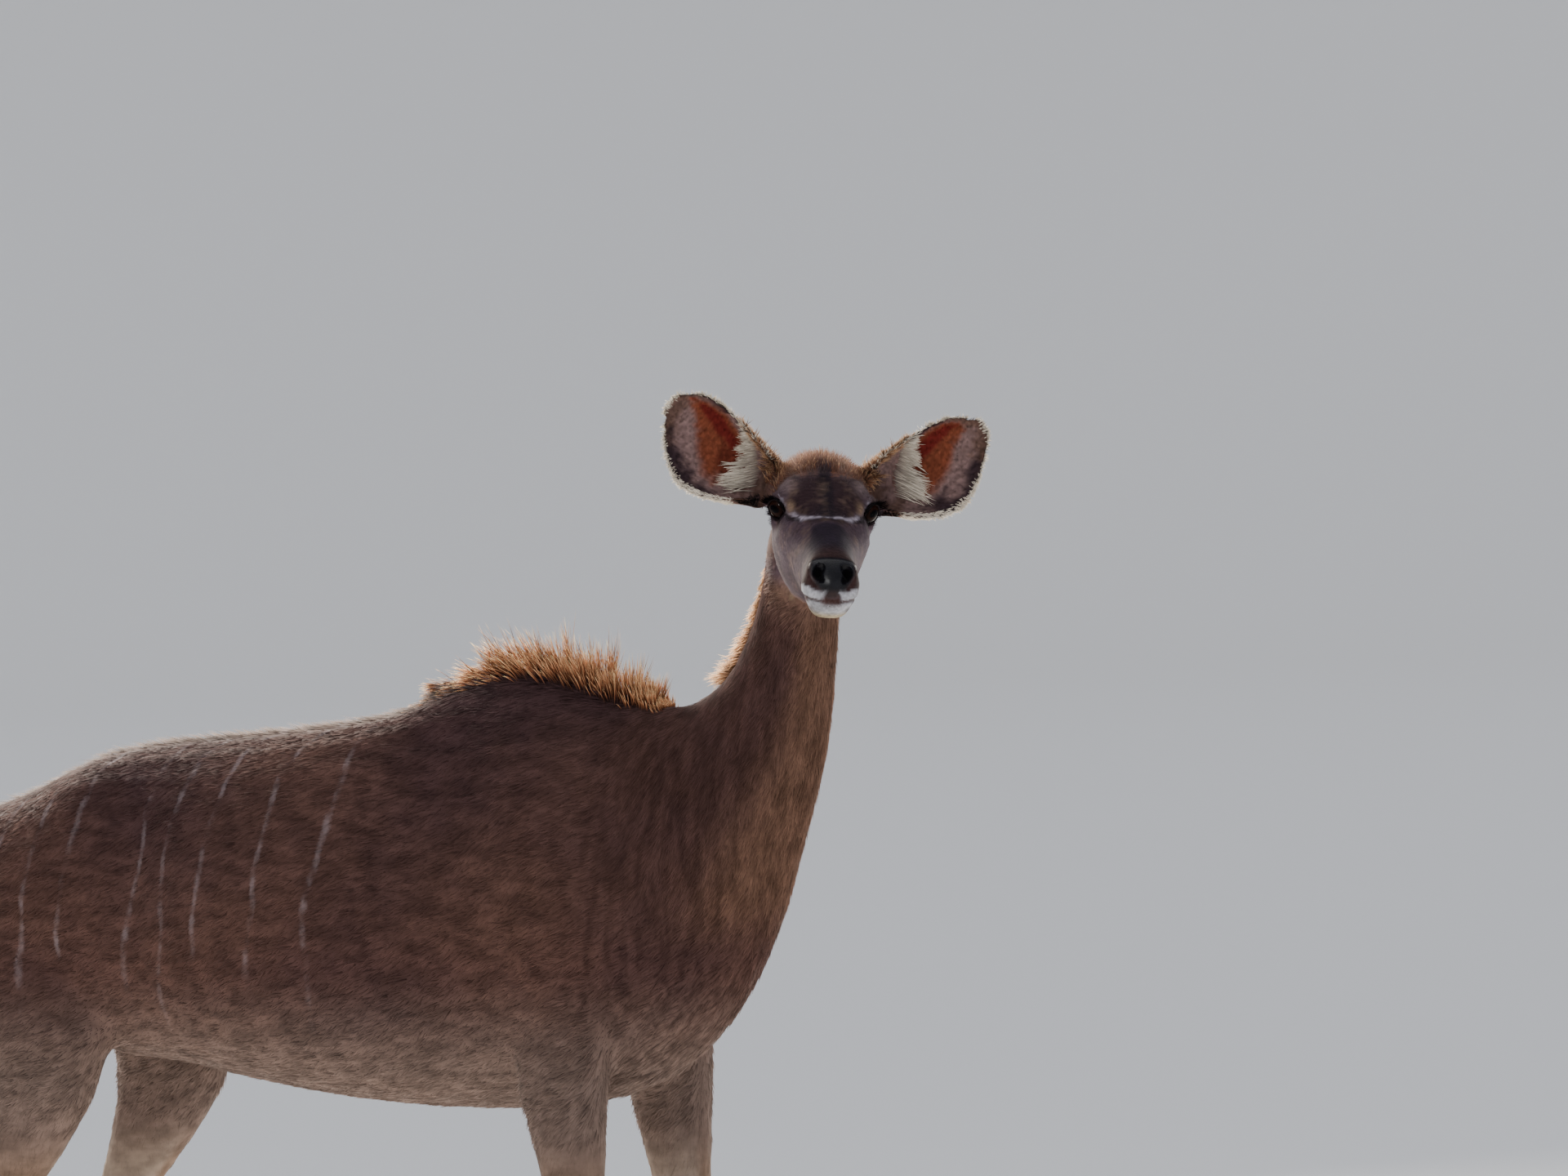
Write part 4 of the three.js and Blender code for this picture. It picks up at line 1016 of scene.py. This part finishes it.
def leg_spot(p):
    """Each leg has a quarter of the map; its middle is followed down by the skin's own points."""
    spot = np.zeros((len(p), 2))
    for quarter, (front, left) in enumerate(((0, 0), (0, 1), (1, 0), (1, 1))):
        def mine(q):
            return ((q[:, 0] > -0.25) == bool(front)) & ((q[:, 1] > STANCE[1] / 1000) == bool(left))
        of_skin = skin_points[mine(skin_points) & (LEGS > 0.2)]
        level = np.round(of_skin[:, 2] / 0.03).astype(int)
        count = np.maximum(np.bincount(level), 1)
        middle = [np.bincount(level, of_skin[:, k]) / count for k in (0, 1)]
        heights = np.arange(len(count)) * 0.03
        q = mine(p)
        off = [p[q, k] - np.interp(p[q, 2], heights, middle[k]) for k in (0, 1)]
        spot[q, 0] = (np.arctan2(off[1], off[0]) / (2 * math.pi) + 0.5 + quarter) / 4
        spot[q, 1] = np.clip(p[q, 2] / 0.8, 0, 1)
    return spot


def coat_piece(name, weight, count, spot, seed, length, width, lift, rings=1, curl=-0.12, **look):
    """Short fur over a part of the skin."""
    draw = np.random.default_rng(seed)
    corners, shares = sprinkled(weight, count, draw)
    root, out = there(skin_points, corners, shares), unit(there(skin_normals, corners, shares))
    lie = there(LIE, corners, shares)
    lie = unit(lie - out * (lie * out).sum(1, keepdims=True))
    streak = wander(root, 0.035, seed + 50)
    sway = draw.normal(0, 0.16, count) + streak * 0.14
    long = there(length, corners, shares) * draw.uniform(0.75, 1.25, count)
    rise = there(lift, corners, shares) + draw.normal(0, 0.05, count) + streak * 0.03
    tufts = strands(root, out, lie, long, there(width, corners, shares) * draw.uniform(0.8, 1.2, count),
                    rise, np.full(count, curl), sway, rings)
    hair_piece(name, tufts, spot(root), out, [(0, coat_colours(root, out))], seed=seed, **look)


# Where the coat is longer, or left out: the poll, the skin round the eyes, the moist nose and lips, and the
# strip under the mane and the fringe
ones = np.ones(len(skin_points))
HEAD = np.clip(HEAD, 0, 1)
POLL_SHARE = HEAD * ramp(92, 62, in_head[:, 0]) * ramp(20, 36, in_head[:, 2])
EYE_NEAR = np.zeros(len(skin_points))
for which in (-1, 1):
    uv, r = about_eye(in_head, which)
    within = (r < 34) * (in_head[:, 1] * which > 0)
    EYE_NEAR = np.maximum(EYE_NEAR, within * ramp(-3.5, -1.5, between_lids(uv)))
BARE = np.maximum(EYE_NEAR, ramp(0.15, 0.5, wetness(skin_points)))
UNDER_FRINGE = np.zeros(len(skin_points))
for place in np.vstack([crest(rows, np.linspace(0, 1, 40))[0] for rows in (NAPE, WITHERS)]):
    UNDER_FRINGE = np.maximum(UNDER_FRINGE, ramp(0.017, 0.012, np.linalg.norm(skin_points - place, axis=1)))

# The fur's length and the width of its tufts, in metres
TRUNK_FUR, CREST_MORE, NECK_FUR, LEG_FUR, TAIL_MORE = 0.020, 0.010, 0.019, 0.010, 0.015
TRUNK_TUFT, NECK_TUFT, LEG_THINNER = 0.0028, 0.0023, 0.0008
length = TRUNK_FUR * ones + CREST_MORE * CREST
length = length + (NECK_FUR - length) * NECK
length = length + (LEG_FUR - length) * LEGS + TAIL_MORE * TAIL
width = TRUNK_TUFT * ones
width = width + (NECK_TUFT - width) * NECK - LEG_THINNER * LEGS
# How far it stands off the skin, in radians
lift = 0.17 * ones + 0.3 * CREST + 0.03 * NECK
trunk = (1 - NECK) * (1 - np.clip(HEAD + EAR, 0, 1)) * (LEGS < 0.5) * (TAIL < 0.5)
# The long fur of trunk and neck differs from tuft to tuft, and is darker at its roots and lighter at its
# tips: painted shade at the roots and painted light at the tips
ROUGH = {"vary": 0.3, "shade": (0.55, 1.35), "soft": 0.45}
HIND_END, FORE_END = -180, 190
for name, part, count, seed in (
    ("coat_hindquarters", trunk * (own[:, 0] < HIND_END), 34000, 11),
    ("coat_middle", trunk * (own[:, 0] >= HIND_END) * (own[:, 0] < FORE_END), 30000, 12),
    ("coat_shoulders", trunk * (own[:, 0] >= FORE_END), 36000, 13),
):
    coat_piece(name, part * (1 - UNDER_FRINGE), count, trunk_spot, seed, length, width, lift, **ROUGH)
on_neck = (NECK > 0.02) * NECK * (1 - UNDER_FRINGE)
coat_piece("coat_neck", on_neck, 42000, neck_spot, 14, length, width, lift, **ROUGH)
on_legs = LEGS * (LEGS >= 0.5) * ramp(52, 66, own[:, 2])
coat_piece("coat_legs", on_legs, 24000, leg_spot, 15, length * 0.9, width, lift)

face_length = 0.0065 * ones + 0.003 * ramp(150, 60, in_head[:, 0]) - 0.0018 * ramp(240, 290, in_head[:, 0])
face_length = face_length + 0.012 * POLL_SHARE
for which in (-1, 1):
    by_ear = ramp(-0.02, 0.05, in_ear(in_head, which)[0]) * (in_head[:, 1] * which > 44)
    face_length = face_length * (1 - 0.5 * by_ear)
face_lift = 0.16 + 0.5 * POLL_SHARE
on_face = HEAD * (1 - BARE) * (in_head[:, 0] > 130)
# Face and head fur are darker at the roots and lighter at the tips: painted shade and painted light
coat_piece("coat_face", on_face, 40000, head_spot, 16, face_length, 0.0011 * ones, face_lift,
           vary=0.22, shade=(0.6, 1.25), soft=0.5)
on_head = HEAD * (1 - BARE) * (1 - UNDER_FRINGE) * (in_head[:, 0] <= 130)
coat_piece("coat_head", on_head, 38000, head_spot, 17, face_length * 1.1, 0.0013 * ones, face_lift,
           vary=0.25, shade=(0.6, 1.3), soft=0.5)
coat_piece("coat_ears", EAR, 22000, ear_spot, 18, 0.0055 * ones, 0.0010 * ones, 0.1 * ones)

# Long hair: the mane over the withers, the fringe of the nape, the poll, the ears, the tail and the lashes

SKIN_TREE = BVHTree.FromPolygons(skin_points.tolist(), skin_faces.tolist())


def on_skin(places):
    """The nearest places of the skin, and the ways out of it there."""
    found = [SKIN_TREE.find_nearest(Vector(q)) for q in places]
    return np.array([f[0][:] for f in found]), np.array([f[1][:] for f in found])


def crest_hair(name, rows, count, seed, spread, width, rings, stops, ragged, **look):
    """Long hair along a crest, which leans back from it and ends raggedly."""
    draw = np.random.default_rng(seed)
    share = (np.arange(count) + draw.random(count)) / count
    place, out, across, length, lean = crest(rows, share)
    lane = np.clip(draw.normal(0, 0.55, count), -1.4, 1.4)
    lower = np.abs(lane) * spread * 0.35
    root, _ = on_skin(place + across * (lane * spread)[:, None] - out * lower[:, None])
    back = np.cross(out, across)
    clump = wander(root, 0.022, seed + 1)
    fine = wander(root, 0.008, seed + 2)
    out = unit(out + across * (lane * 0.3 + clump * 0.12)[:, None])
    lie = unit(back - out * (back * out).sum(1, keepdims=True))
    length = length * draw.uniform(0.66, 1.16, count) * (1 + ragged * clump + 0.6 * ragged * fine)
    length = length * (1 - 0.4 * np.abs(lane) / 1.4)
    lift = math.pi / 2 - lean + draw.normal(0, 0.08, count) + clump * 0.13 + fine * 0.1
    sway = draw.normal(0, 0.09, count) + clump * 0.2
    curl = -0.42 * draw.uniform(0.4, 1.5, count)
    wide = width * draw.uniform(0.75, 1.25, count)
    tufts = strands(root - out * 0.002, out, lie, length, wide, lift, curl, sway, rings)
    spot = np.stack([share, (lane + 1.4) / 2.8], -1)
    hair_piece(name, tufts, spot, out, stops, seed=seed, **look)


# The mane runs on beyond its locks with shorter hair
MANE = [(150, 0, 1226, -0.2, 1, 0, 16, 72), (192, 0, 1234, -0.3, 1, 0, 27, 68)] + WITHERS
MANE += [(522, 0, 1208, 0.2, 1, 0, 28, -6), (546, 0, 1204, 0.1, 1, 0, 12, 10)]
# The pale tips of mane and fringe are partly their own colour and partly painted glow of light through the
# hair
crest_hair("mane", MANE, 4800, 31, 0.019, 0.0012, 4,
           [(0, BODY_DARK * 0.6), (0.3, MANE_ROOT * 0.7), (0.65, MANE_MIDDLE * 0.75), (1, MANE_TIP_AND_GLOW)], 0.3,
           soft=0.2, vary=0.6)
crest_hair("nape_fringe", NAPE, 3000, 32, 0.013, 0.0012, 3,
           [(0, BODY * 0.6), (0.5, mix(MANE_MIDDLE, MANE_TIP_AND_GLOW, 0.4) * 0.8), (1, MANE_TIP_AND_GLOW)], 0.16,
           soft=0.3, vary=0.3)


def longer_hair(name, weight, count, seed, spot, lie, length, width, lift, curl, rings, stops, swing=0.15,
                **look):
    """Longer hair over a part of the skin; lie is a way for each point of the skin."""
    draw = np.random.default_rng(seed)
    corners, shares = sprinkled(weight, count, draw)
    root, out = there(skin_points, corners, shares), unit(there(skin_normals, corners, shares))
    way = there(lie, corners, shares)
    way = unit(way - out * (way * out).sum(1, keepdims=True))
    clump = wander(root, 0.012, seed + 1)
    long = there(length * ones, corners, shares) * draw.uniform(0.7, 1.2, count) * (1 + 0.1 * clump)
    rise = lift + draw.normal(0, 0.1, count) + clump * 0.08
    tufts = strands(root, out, way, long, width * draw.uniform(0.75, 1.25, count), rise,
                    curl * draw.uniform(0.6, 1.4, count), draw.normal(0, swing, count) + clump * swing, rings)
    hair_piece(name, tufts, spot(root), out, stops, seed=seed, **look)


on_poll = HEAD * ramp(80, 50, in_head[:, 0]) * ramp(14, 34, in_head[:, 2])
poll_lie = np.tile(-HEAD_AXES[0] * 0.8 + HEAD_AXES[2] * 0.2, (len(own), 1))
poll_length = 0.016 + 0.005 * wander(in_head, 14, 5)
# The pale tips of the poll's tuft are partly painted glow of light through the hair
longer_hair("poll_tuft", on_poll, 6000, 33, head_spot, poll_lie, poll_length, 0.0009, 0.75, -0.5, 2,
            [(0, POLL * 0.35), (0.6, POLL * 0.8), (1, MANE_TIP_AND_GLOW * 0.55)], 0.3, vary=0.45)

for side, ear in ((-1, "right"), (1, "left")):
    axis, opening, crown = (v @ HEAD_AXES for v in ear_frame(side))
    along, across, depth = in_ear(in_head, side)
    mine = EAR * (in_head[:, 1] * side > 0)
    inner = ramp(0.0, 0.4, skin_normals @ opening)
    root_line = 0.16 + 0.15 * (across + 0.47) + (0.08 if side > 0 else 0)
    fan = (mine > 0.3) * inner * (across > -0.5) * ramp(0.045, 0.015, np.abs(along - root_line))
    fan_lie = np.tile(axis * 0.62 - crown * 0.78, (len(own), 1))
    longer_hair("ear_fan_" + ear, fan * ramp(-0.5, 0.1, across), 1500, 40 + side, ear_spot, fan_lie,
                0.014 + 0.024 * ramp(0.95, 0.1, across), 0.0010, 0.32, -0.34, 4,
                [(0, EAR_PINK * 0.6), (0.4, EAR_CREAM * 0.5), (1, EAR_CREAM * 0.75)], vary=0.25)
    edge = np.maximum(ramp(0.88, 1.0, np.abs(across)), ramp(0.93, 1.0, along)) * (mine > 0.5)
    rim_lie = np.clip(across, -1, 1)[:, None] * crown + axis * (0.25 + ramp(0.8, 1, along))[:, None]
    longer_hair("ear_rim_" + ear, edge, 4200, 44 + side, ear_spot, rim_lie, 0.0075, 0.0010, 0.1, 0.1, 2,
                [(0, EAR_CREAM * 0.6), (1, EAR_CREAM)], vary=0.12, soft=0.2)
    fuzz = ramp(0.6, 0.9, across) * ramp(0.5, 0.3, along) * mine * (1 - inner)
    # The pale tips of the ear fuzz are partly painted glow of light through the hair
    longer_hair("ear_fuzz_" + ear, fuzz, 2400, 48 + side, ear_spot, rim_lie, 0.014, 0.0008, 0.35, -0.1, 2,
                [(0, POLL * 0.8), (0.5, POLL * 0.9), (1, MANE_TIP_AND_GLOW * 0.7)], vary=0.2)

down_tail = np.tile([-0.1, 0, -1.0], (len(own), 1))
longer_hair("tail_tuft", TAIL * ramp(820, 760, own[:, 2]), 2400, 52, leg_spot, down_tail, 0.06, 0.0016, 0.2,
            -0.15, 3, [(0, TAIL_DARK * 0.6), (1, TAIL_DARK * 0.8)], vary=0.3)
longer_hair("tail_hair", TAIL * ramp(740, 800, own[:, 2]), 2200, 53, leg_spot, down_tail, 0.035, 0.0016, 0.14,
            -0.1, 2, [(0, BODY * 0.6), (1, BODY * 0.8)], vary=0.25)


# Eyes, the rims of the lids and the lashes


def eye_material():
    made = bpy.data.materials.new("eye")
    made.use_nodes = True
    n = Nodes(made.node_tree)
    shader = made.node_tree.nodes["Principled BSDF"]
    colour = n.add("Attribute", attribute_name="coat").outputs["Color"]
    place = n.add("TexCoord").outputs["Object"]
    streaks = n.span(n.noise(place, 900.0, 4.0), 0.3, 0.7, 0.7, 1.3)
    n.put(shader.inputs["Base Color"], n.blend(1.0, colour, streaks, "MULTIPLY"))
    shader.inputs["Roughness"].default_value = 0.12
    shader.inputs["Specular IOR Level"].default_value = 0.01
    shader.inputs["Coat Weight"].default_value = 0.02
    shader.inputs["Coat Roughness"].default_value = 0.02
    return made


EYE_MATERIAL = eye_material()
IRIS = tint(30, 15, 11)
PUPIL = tint(3, 2, 4)
LIMBUS = tint(6, 4, 5)


def eyeball(side, name):
    """A ball with the bulge of its cornea; rings run round the way of its gaze."""
    centre, gaze, along, up = eye_frame(side)
    rings, around_it = 40, 64
    angle = np.linspace(0, math.pi, rings + 1)[1:-1]
    turn = np.arange(around_it) * 2 * math.pi / around_it
    way = np.cos(turn)[:, None] * along + np.sin(turn)[:, None] * up
    ball = gaze * np.cos(angle)[:, None, None] + way[None] * np.sin(angle)[:, None, None]
    bulge = EYE_RADIUS * (1 + 0.06 * ramp(0.8, 0.1, angle))
    points = (centre + ball * bulge[:, None, None]).reshape(-1, 3)
    points = np.vstack([points, centre + gaze * EYE_RADIUS * 1.06, centre - gaze * EYE_RADIUS])
    faces = []
    for i in range(rings - 2):
        for k in range(around_it):
            a, b = i * around_it + k, i * around_it + (k + 1) % around_it
            faces += [(a, a + around_it, b + around_it), (a, b + around_it, b)]
    first, last = len(points) - 2, len(points) - 1
    for k in range(around_it):
        b = (k + 1) % around_it
        faces += [(first, k, b), (last, (rings - 2) * around_it + b, (rings - 2) * around_it + k)]
    faces = np.array(faces)
    if side < 0:
        faces = faces[:, ::-1]
    uv, r = about_eye(points, side)
    radial = np.linalg.norm(uv, axis=1)
    pupil = np.linalg.norm(uv / np.array([7.4, 4.6]), axis=1)
    colour = mix(np.tile(IRIS, (len(uv), 1)), IRIS * 0.45, ramp(7, 12, radial))
    colour = mix(colour, PUPIL, ramp(1.1, 0.9, pupil))
    colour = mix(colour, LIMBUS, ramp(10, 14, radial))
    made = mesh_object(name, from_head(points), faces)
    set_colours(made, colour)
    made.data.materials.append(EYE_MATERIAL)
    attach(made, "root")
    return made


RIM_SIDES = 8
RIM_POINTS = 34


def lid_rims(side, name):
    """The bare dark edges of both lids, as one closed ring round the opening."""
    high, low = lid_curve(True, RIM_POINTS), lid_curve(False, RIM_POINTS)
    loop = np.vstack([high, low[-2:0:-1]])
    ways = unit(np.roll(loop, -1, 0) - np.roll(loop, 1, 0))
    outs = np.stack([-ways[:, 1], ways[:, 0]], -1)
    thick = 0.85 + 0.4 * ramp(-10, 6, loop[:, 1])
    points = []
    for k in range(RIM_SIDES):
        a = 2 * math.pi * k / RIM_SIDES
        uv = loop + outs * (thick * math.cos(a))[:, None]
        points.append(on_eye(side, uv, EYE_RADIUS + 0.5 + thick * math.sin(a)))
    count = len(loop)
    faces = []
    for k in range(RIM_SIDES):
        this, other = k * count, (k + 1) % RIM_SIDES * count
        for i in range(count):
            after = (i + 1) % count
            faces.append((this + i, other + i, other + after, this + after))
    faces = np.array(faces)
    if side > 0:
        faces = faces[:, ::-1]
    made = mesh_object(name, from_head(np.vstack(points)), faces)
    set_colours(made, np.tile(TEAR * 0.6, (RIM_SIDES * count, 1)))
    set_values(made, np.full(RIM_SIDES * count, 0.35), "wet")
    made.data.materials.append(SKIN_MATERIAL)
    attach(made, "root")
    return made


def lashes(side, name):
    draw = np.random.default_rng(60 + side)
    _, gaze, along, up = eye_frame(side)
    roots, ways, outs, lengths = [], [], [], []
    for upper, count in ((True, 130), (False, 20)):
        t = draw.uniform(0.02, 0.8, count)
        curve = lid_curve(upper, 200)[(t * 199).astype(int)]
        rise = (0.9 if upper else -0.7) * np.sin(t * math.pi)
        roots.append(on_eye(side, curve, np.full(count, EYE_RADIUS + 1.6)))
        fan = (t - 0.55)[:, None] * along * 1.5
        ways.append(unit(gaze * 0.75 + fan + up * rise[:, None] * 0.5 + draw.normal(0, 0.06, (count, 3))))
        outs.append(np.tile(unit(up * (1 if upper else -1) + gaze * 0.3), (count, 1)))
        lengths.append((0.014 if upper else 0.004) * draw.uniform(0.7, 1.1, count) * (1 - 0.35 * t))
    root, way, out = from_head(np.vstack(roots)), np.vstack(ways) @ HEAD_AXES, np.vstack(outs) @ HEAD_AXES
    out = unit(out - way * (way * out).sum(1, keepdims=True))
    count = len(root)
    zeros = np.zeros(count)
    width = np.full(count, 0.0007)
    tufts = strands(root, out, way, np.concatenate(lengths), width, zeros, zeros + 0.35, zeros, 3)
    hair_piece(name, tufts, head_spot(root), out, [(0, TEAR * 0.35)], seed=61, vary=0.2)


for side, which in ((-1, "right"), (1, "left")):
    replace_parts(eyeball(side, "eyeball_" + which), "eye_" + which)
    lid_rims(side, "lid_rims_" + which)
    lashes(side, "lashes_" + which)

# Hooves


def horn_material():
    """Dark horn with growth rings across it and fine lines down it."""
    made = bpy.data.materials.new("horn")
    made.use_nodes = True
    n = Nodes(made.node_tree)
    shader = made.node_tree.nodes["Principled BSDF"]
    place = n.add("TexCoord").outputs["Object"]
    rings = n.noise(place, 90.0, 2.0, (0.3, 0.3, 3.0))
    lines = n.noise(place, 260.0, 3.0, (1, 1, 0.12))
    worn = n.span(n.noise(place, 45.0, 4.0), 0.45, 0.7)
    colour = n.blend(n.span(rings, 0.35, 0.65), (*tint(34, 28, 25), 1), (*tint(66, 56, 49), 1))
    parts = n.add("SeparateXYZ")
    n.put(parts.inputs[0], place)
    dusty = n.sums("MULTIPLY", n.span(parts.outputs[2], 0.022, 0.0), worn)
    n.put(shader.inputs["Base Color"], n.blend(dusty, colour, (*tint(118, 102, 86), 1)))
    n.put(shader.inputs["Roughness"], n.span(lines, 0.3, 0.7, 0.38, 0.6))
    shader.inputs["Specular IOR Level"].default_value = 0.35
    relief = n.add("Bump")
    relief.inputs["Strength"].default_value = 0.5
    relief.inputs["Distance"].default_value = 0.0012
    n.put(relief.inputs["Height"], n.sums("ADD", rings, n.sums("MULTIPLY", lines, 0.4)))
    n.put(shader.inputs["Normal"], relief.outputs[0])
    return made


HORN_MATERIAL = horn_material()
for name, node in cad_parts.items():
    if "hoof" in name:
        for slot in node.material_slots:
            slot.material = HORN_MATERIAL

# Camera, light and floor

CAMERA_TURN, CAMERA_RISE, CAMERA_ROLL = 36.0, 1.0, 2.0
CAMERA_DISTANCE = 11.8
CAMERA_LENS = 221.25
ANCHOR = Vector((0.140, 0.033, 1.256))  # a place on the withers
ANCHOR_PIXEL = (630, 815)
PHOTO_SIZE = (1920, 1440)


def camera_axes():
    a, e, r = (math.radians(v) for v in (CAMERA_TURN, CAMERA_RISE, CAMERA_ROLL))
    back = Vector((math.sin(a) * math.cos(e), -math.cos(a) * math.cos(e), math.sin(e)))
    level = Vector((math.cos(a), math.sin(a), 0))
    rise = back.cross(level)
    right = level * math.cos(r) - rise * math.sin(r)
    up = rise * math.cos(r) + level * math.sin(r)
    return right, up, back


def make_camera():
    right, up, back = camera_axes()
    data = bpy.data.cameras.new("camera")
    data.lens = CAMERA_LENS
    data.sensor_width = 36
    data.clip_end = 100
    camera = bpy.data.objects.new("camera", data)
    scale = CAMERA_DISTANCE * data.sensor_width / data.lens / PHOTO_SIZE[0]
    place = ANCHOR + back * CAMERA_DISTANCE
    place += right * (PHOTO_SIZE[0] / 2 - ANCHOR_PIXEL[0]) * scale
    place += up * (ANCHOR_PIXEL[1] - PHOTO_SIZE[1] / 2) * scale
    turn = Matrix((right, up, back)).transposed().to_4x4()
    camera.matrix_world = Matrix.Translation(place) @ turn
    bpy.context.scene.collection.objects.link(camera)
    bpy.context.scene.camera = camera


make_camera()


def area_light(name, place, aim, size, power, colour):
    data = bpy.data.lights.new(name, "AREA")
    data.shape = "RECTANGLE"
    data.size, data.size_y = size
    data.energy = power
    data.color = colour
    light = bpy.data.objects.new(name, data)
    light.location = place
    light.rotation_euler = (Vector(aim) - Vector(place)).to_track_quat("-Z", "Y").to_euler()
    bpy.context.scene.collection.objects.link(light)
    return light


# Metres towards the camera, to its right and up from her middle, then size in metres, watts and colour.
# The sparkle shows only as the glint in the eyes and on the nose.
LIGHTS = (
    ("key", 4, -2.5, 2.6, (3, 3), 80, (1, 0.98, 0.95)),
    ("fill", 4.5, 3.5, 0.8, (4, 3), 50, (0.9, 0.94, 1)),
    ("rim", -4.2, -2.3, 2.0, (2.4, 1.6), 1100, (1, 0.93, 0.82)),
    ("rim_low", -3.6, 2.8, 1.4, (1.6, 2.2), 420, (1, 0.95, 0.88)),
    ("top", -0.5, 0, 4.5, (3, 3), 70, (1, 0.97, 0.93)),
    ("sparkle", 4, -1.2, 1.5, (0.2, 0.2), 90, (1, 1, 1)),
)
SKY = (0.86, 0.9, 1, 1)
SKY_STRENGTH = 0.9


def make_lights():
    right, up, back = camera_axes()
    middle = Vector((0.1, 0, 1.2))
    for name, ahead, aside, above, size, power, colour in LIGHTS:
        place = middle + back * ahead + right * aside + up * above
        light = area_light(name, place, middle, size, power, colour)
        light.visible_diffuse = name != "sparkle"
    world = bpy.data.worlds.new("studio")
    world.use_nodes = True
    world.node_tree.nodes["Background"].inputs[0].default_value = SKY
    world.node_tree.nodes["Background"].inputs[1].default_value = SKY_STRENGTH
    bpy.context.scene.world = world


make_lights()

FLOOR_REACH = 45.0
WALL_BEND = 8.0
FLOOR_COLOUR = (0.84, 0.83, 0.81, 1)


def make_floor():
    """A floor that bends up into a wall behind her, all round, so that every view has the same backdrop."""
    rings = [(0.0, 0.0)]
    rings += [(FLOOR_REACH * k / 6, 0.0) for k in range(1, 7)]
    rings += [
        (FLOOR_REACH + WALL_BEND * math.sin(a), WALL_BEND * (1 - math.cos(a)))
        for a in (math.pi / 2 * k / 10 for k in range(1, 11))
    ]
    rings += [(FLOOR_REACH + WALL_BEND, WALL_BEND + 6 * k) for k in range(1, 5)]
    around = 96
    points = [(r * math.cos(a), r * math.sin(a), z) for r, z in rings[1:] for a in
              (2 * math.pi * k / around for k in range(around))]
    faces = []
    for i in range(len(rings) - 2):
        for k in range(around):
            j = (k + 1) % around
            faces.append((i * around + k, (i + 1) * around + k, (i + 1) * around + j, i * around + j))
    mesh = bpy.data.meshes.new("floor")
    middle = len(points)
    faces += [(middle, k, (k + 1) % around) for k in range(around)]
    mesh.from_pydata([*points, (0, 0, 0)], [], faces)
    for face in mesh.polygons:
        face.use_smooth = True
    floor = bpy.data.objects.new("floor", mesh)
    bpy.context.scene.collection.objects.link(floor)
    paint = bpy.data.materials.new("floor")
    paint.use_nodes = True
    shader = paint.node_tree.nodes["Principled BSDF"]
    shader.inputs["Base Color"].default_value = FLOOR_COLOUR
    shader.inputs["Roughness"].default_value = 0.8
    mesh.materials.append(paint)


make_floor()
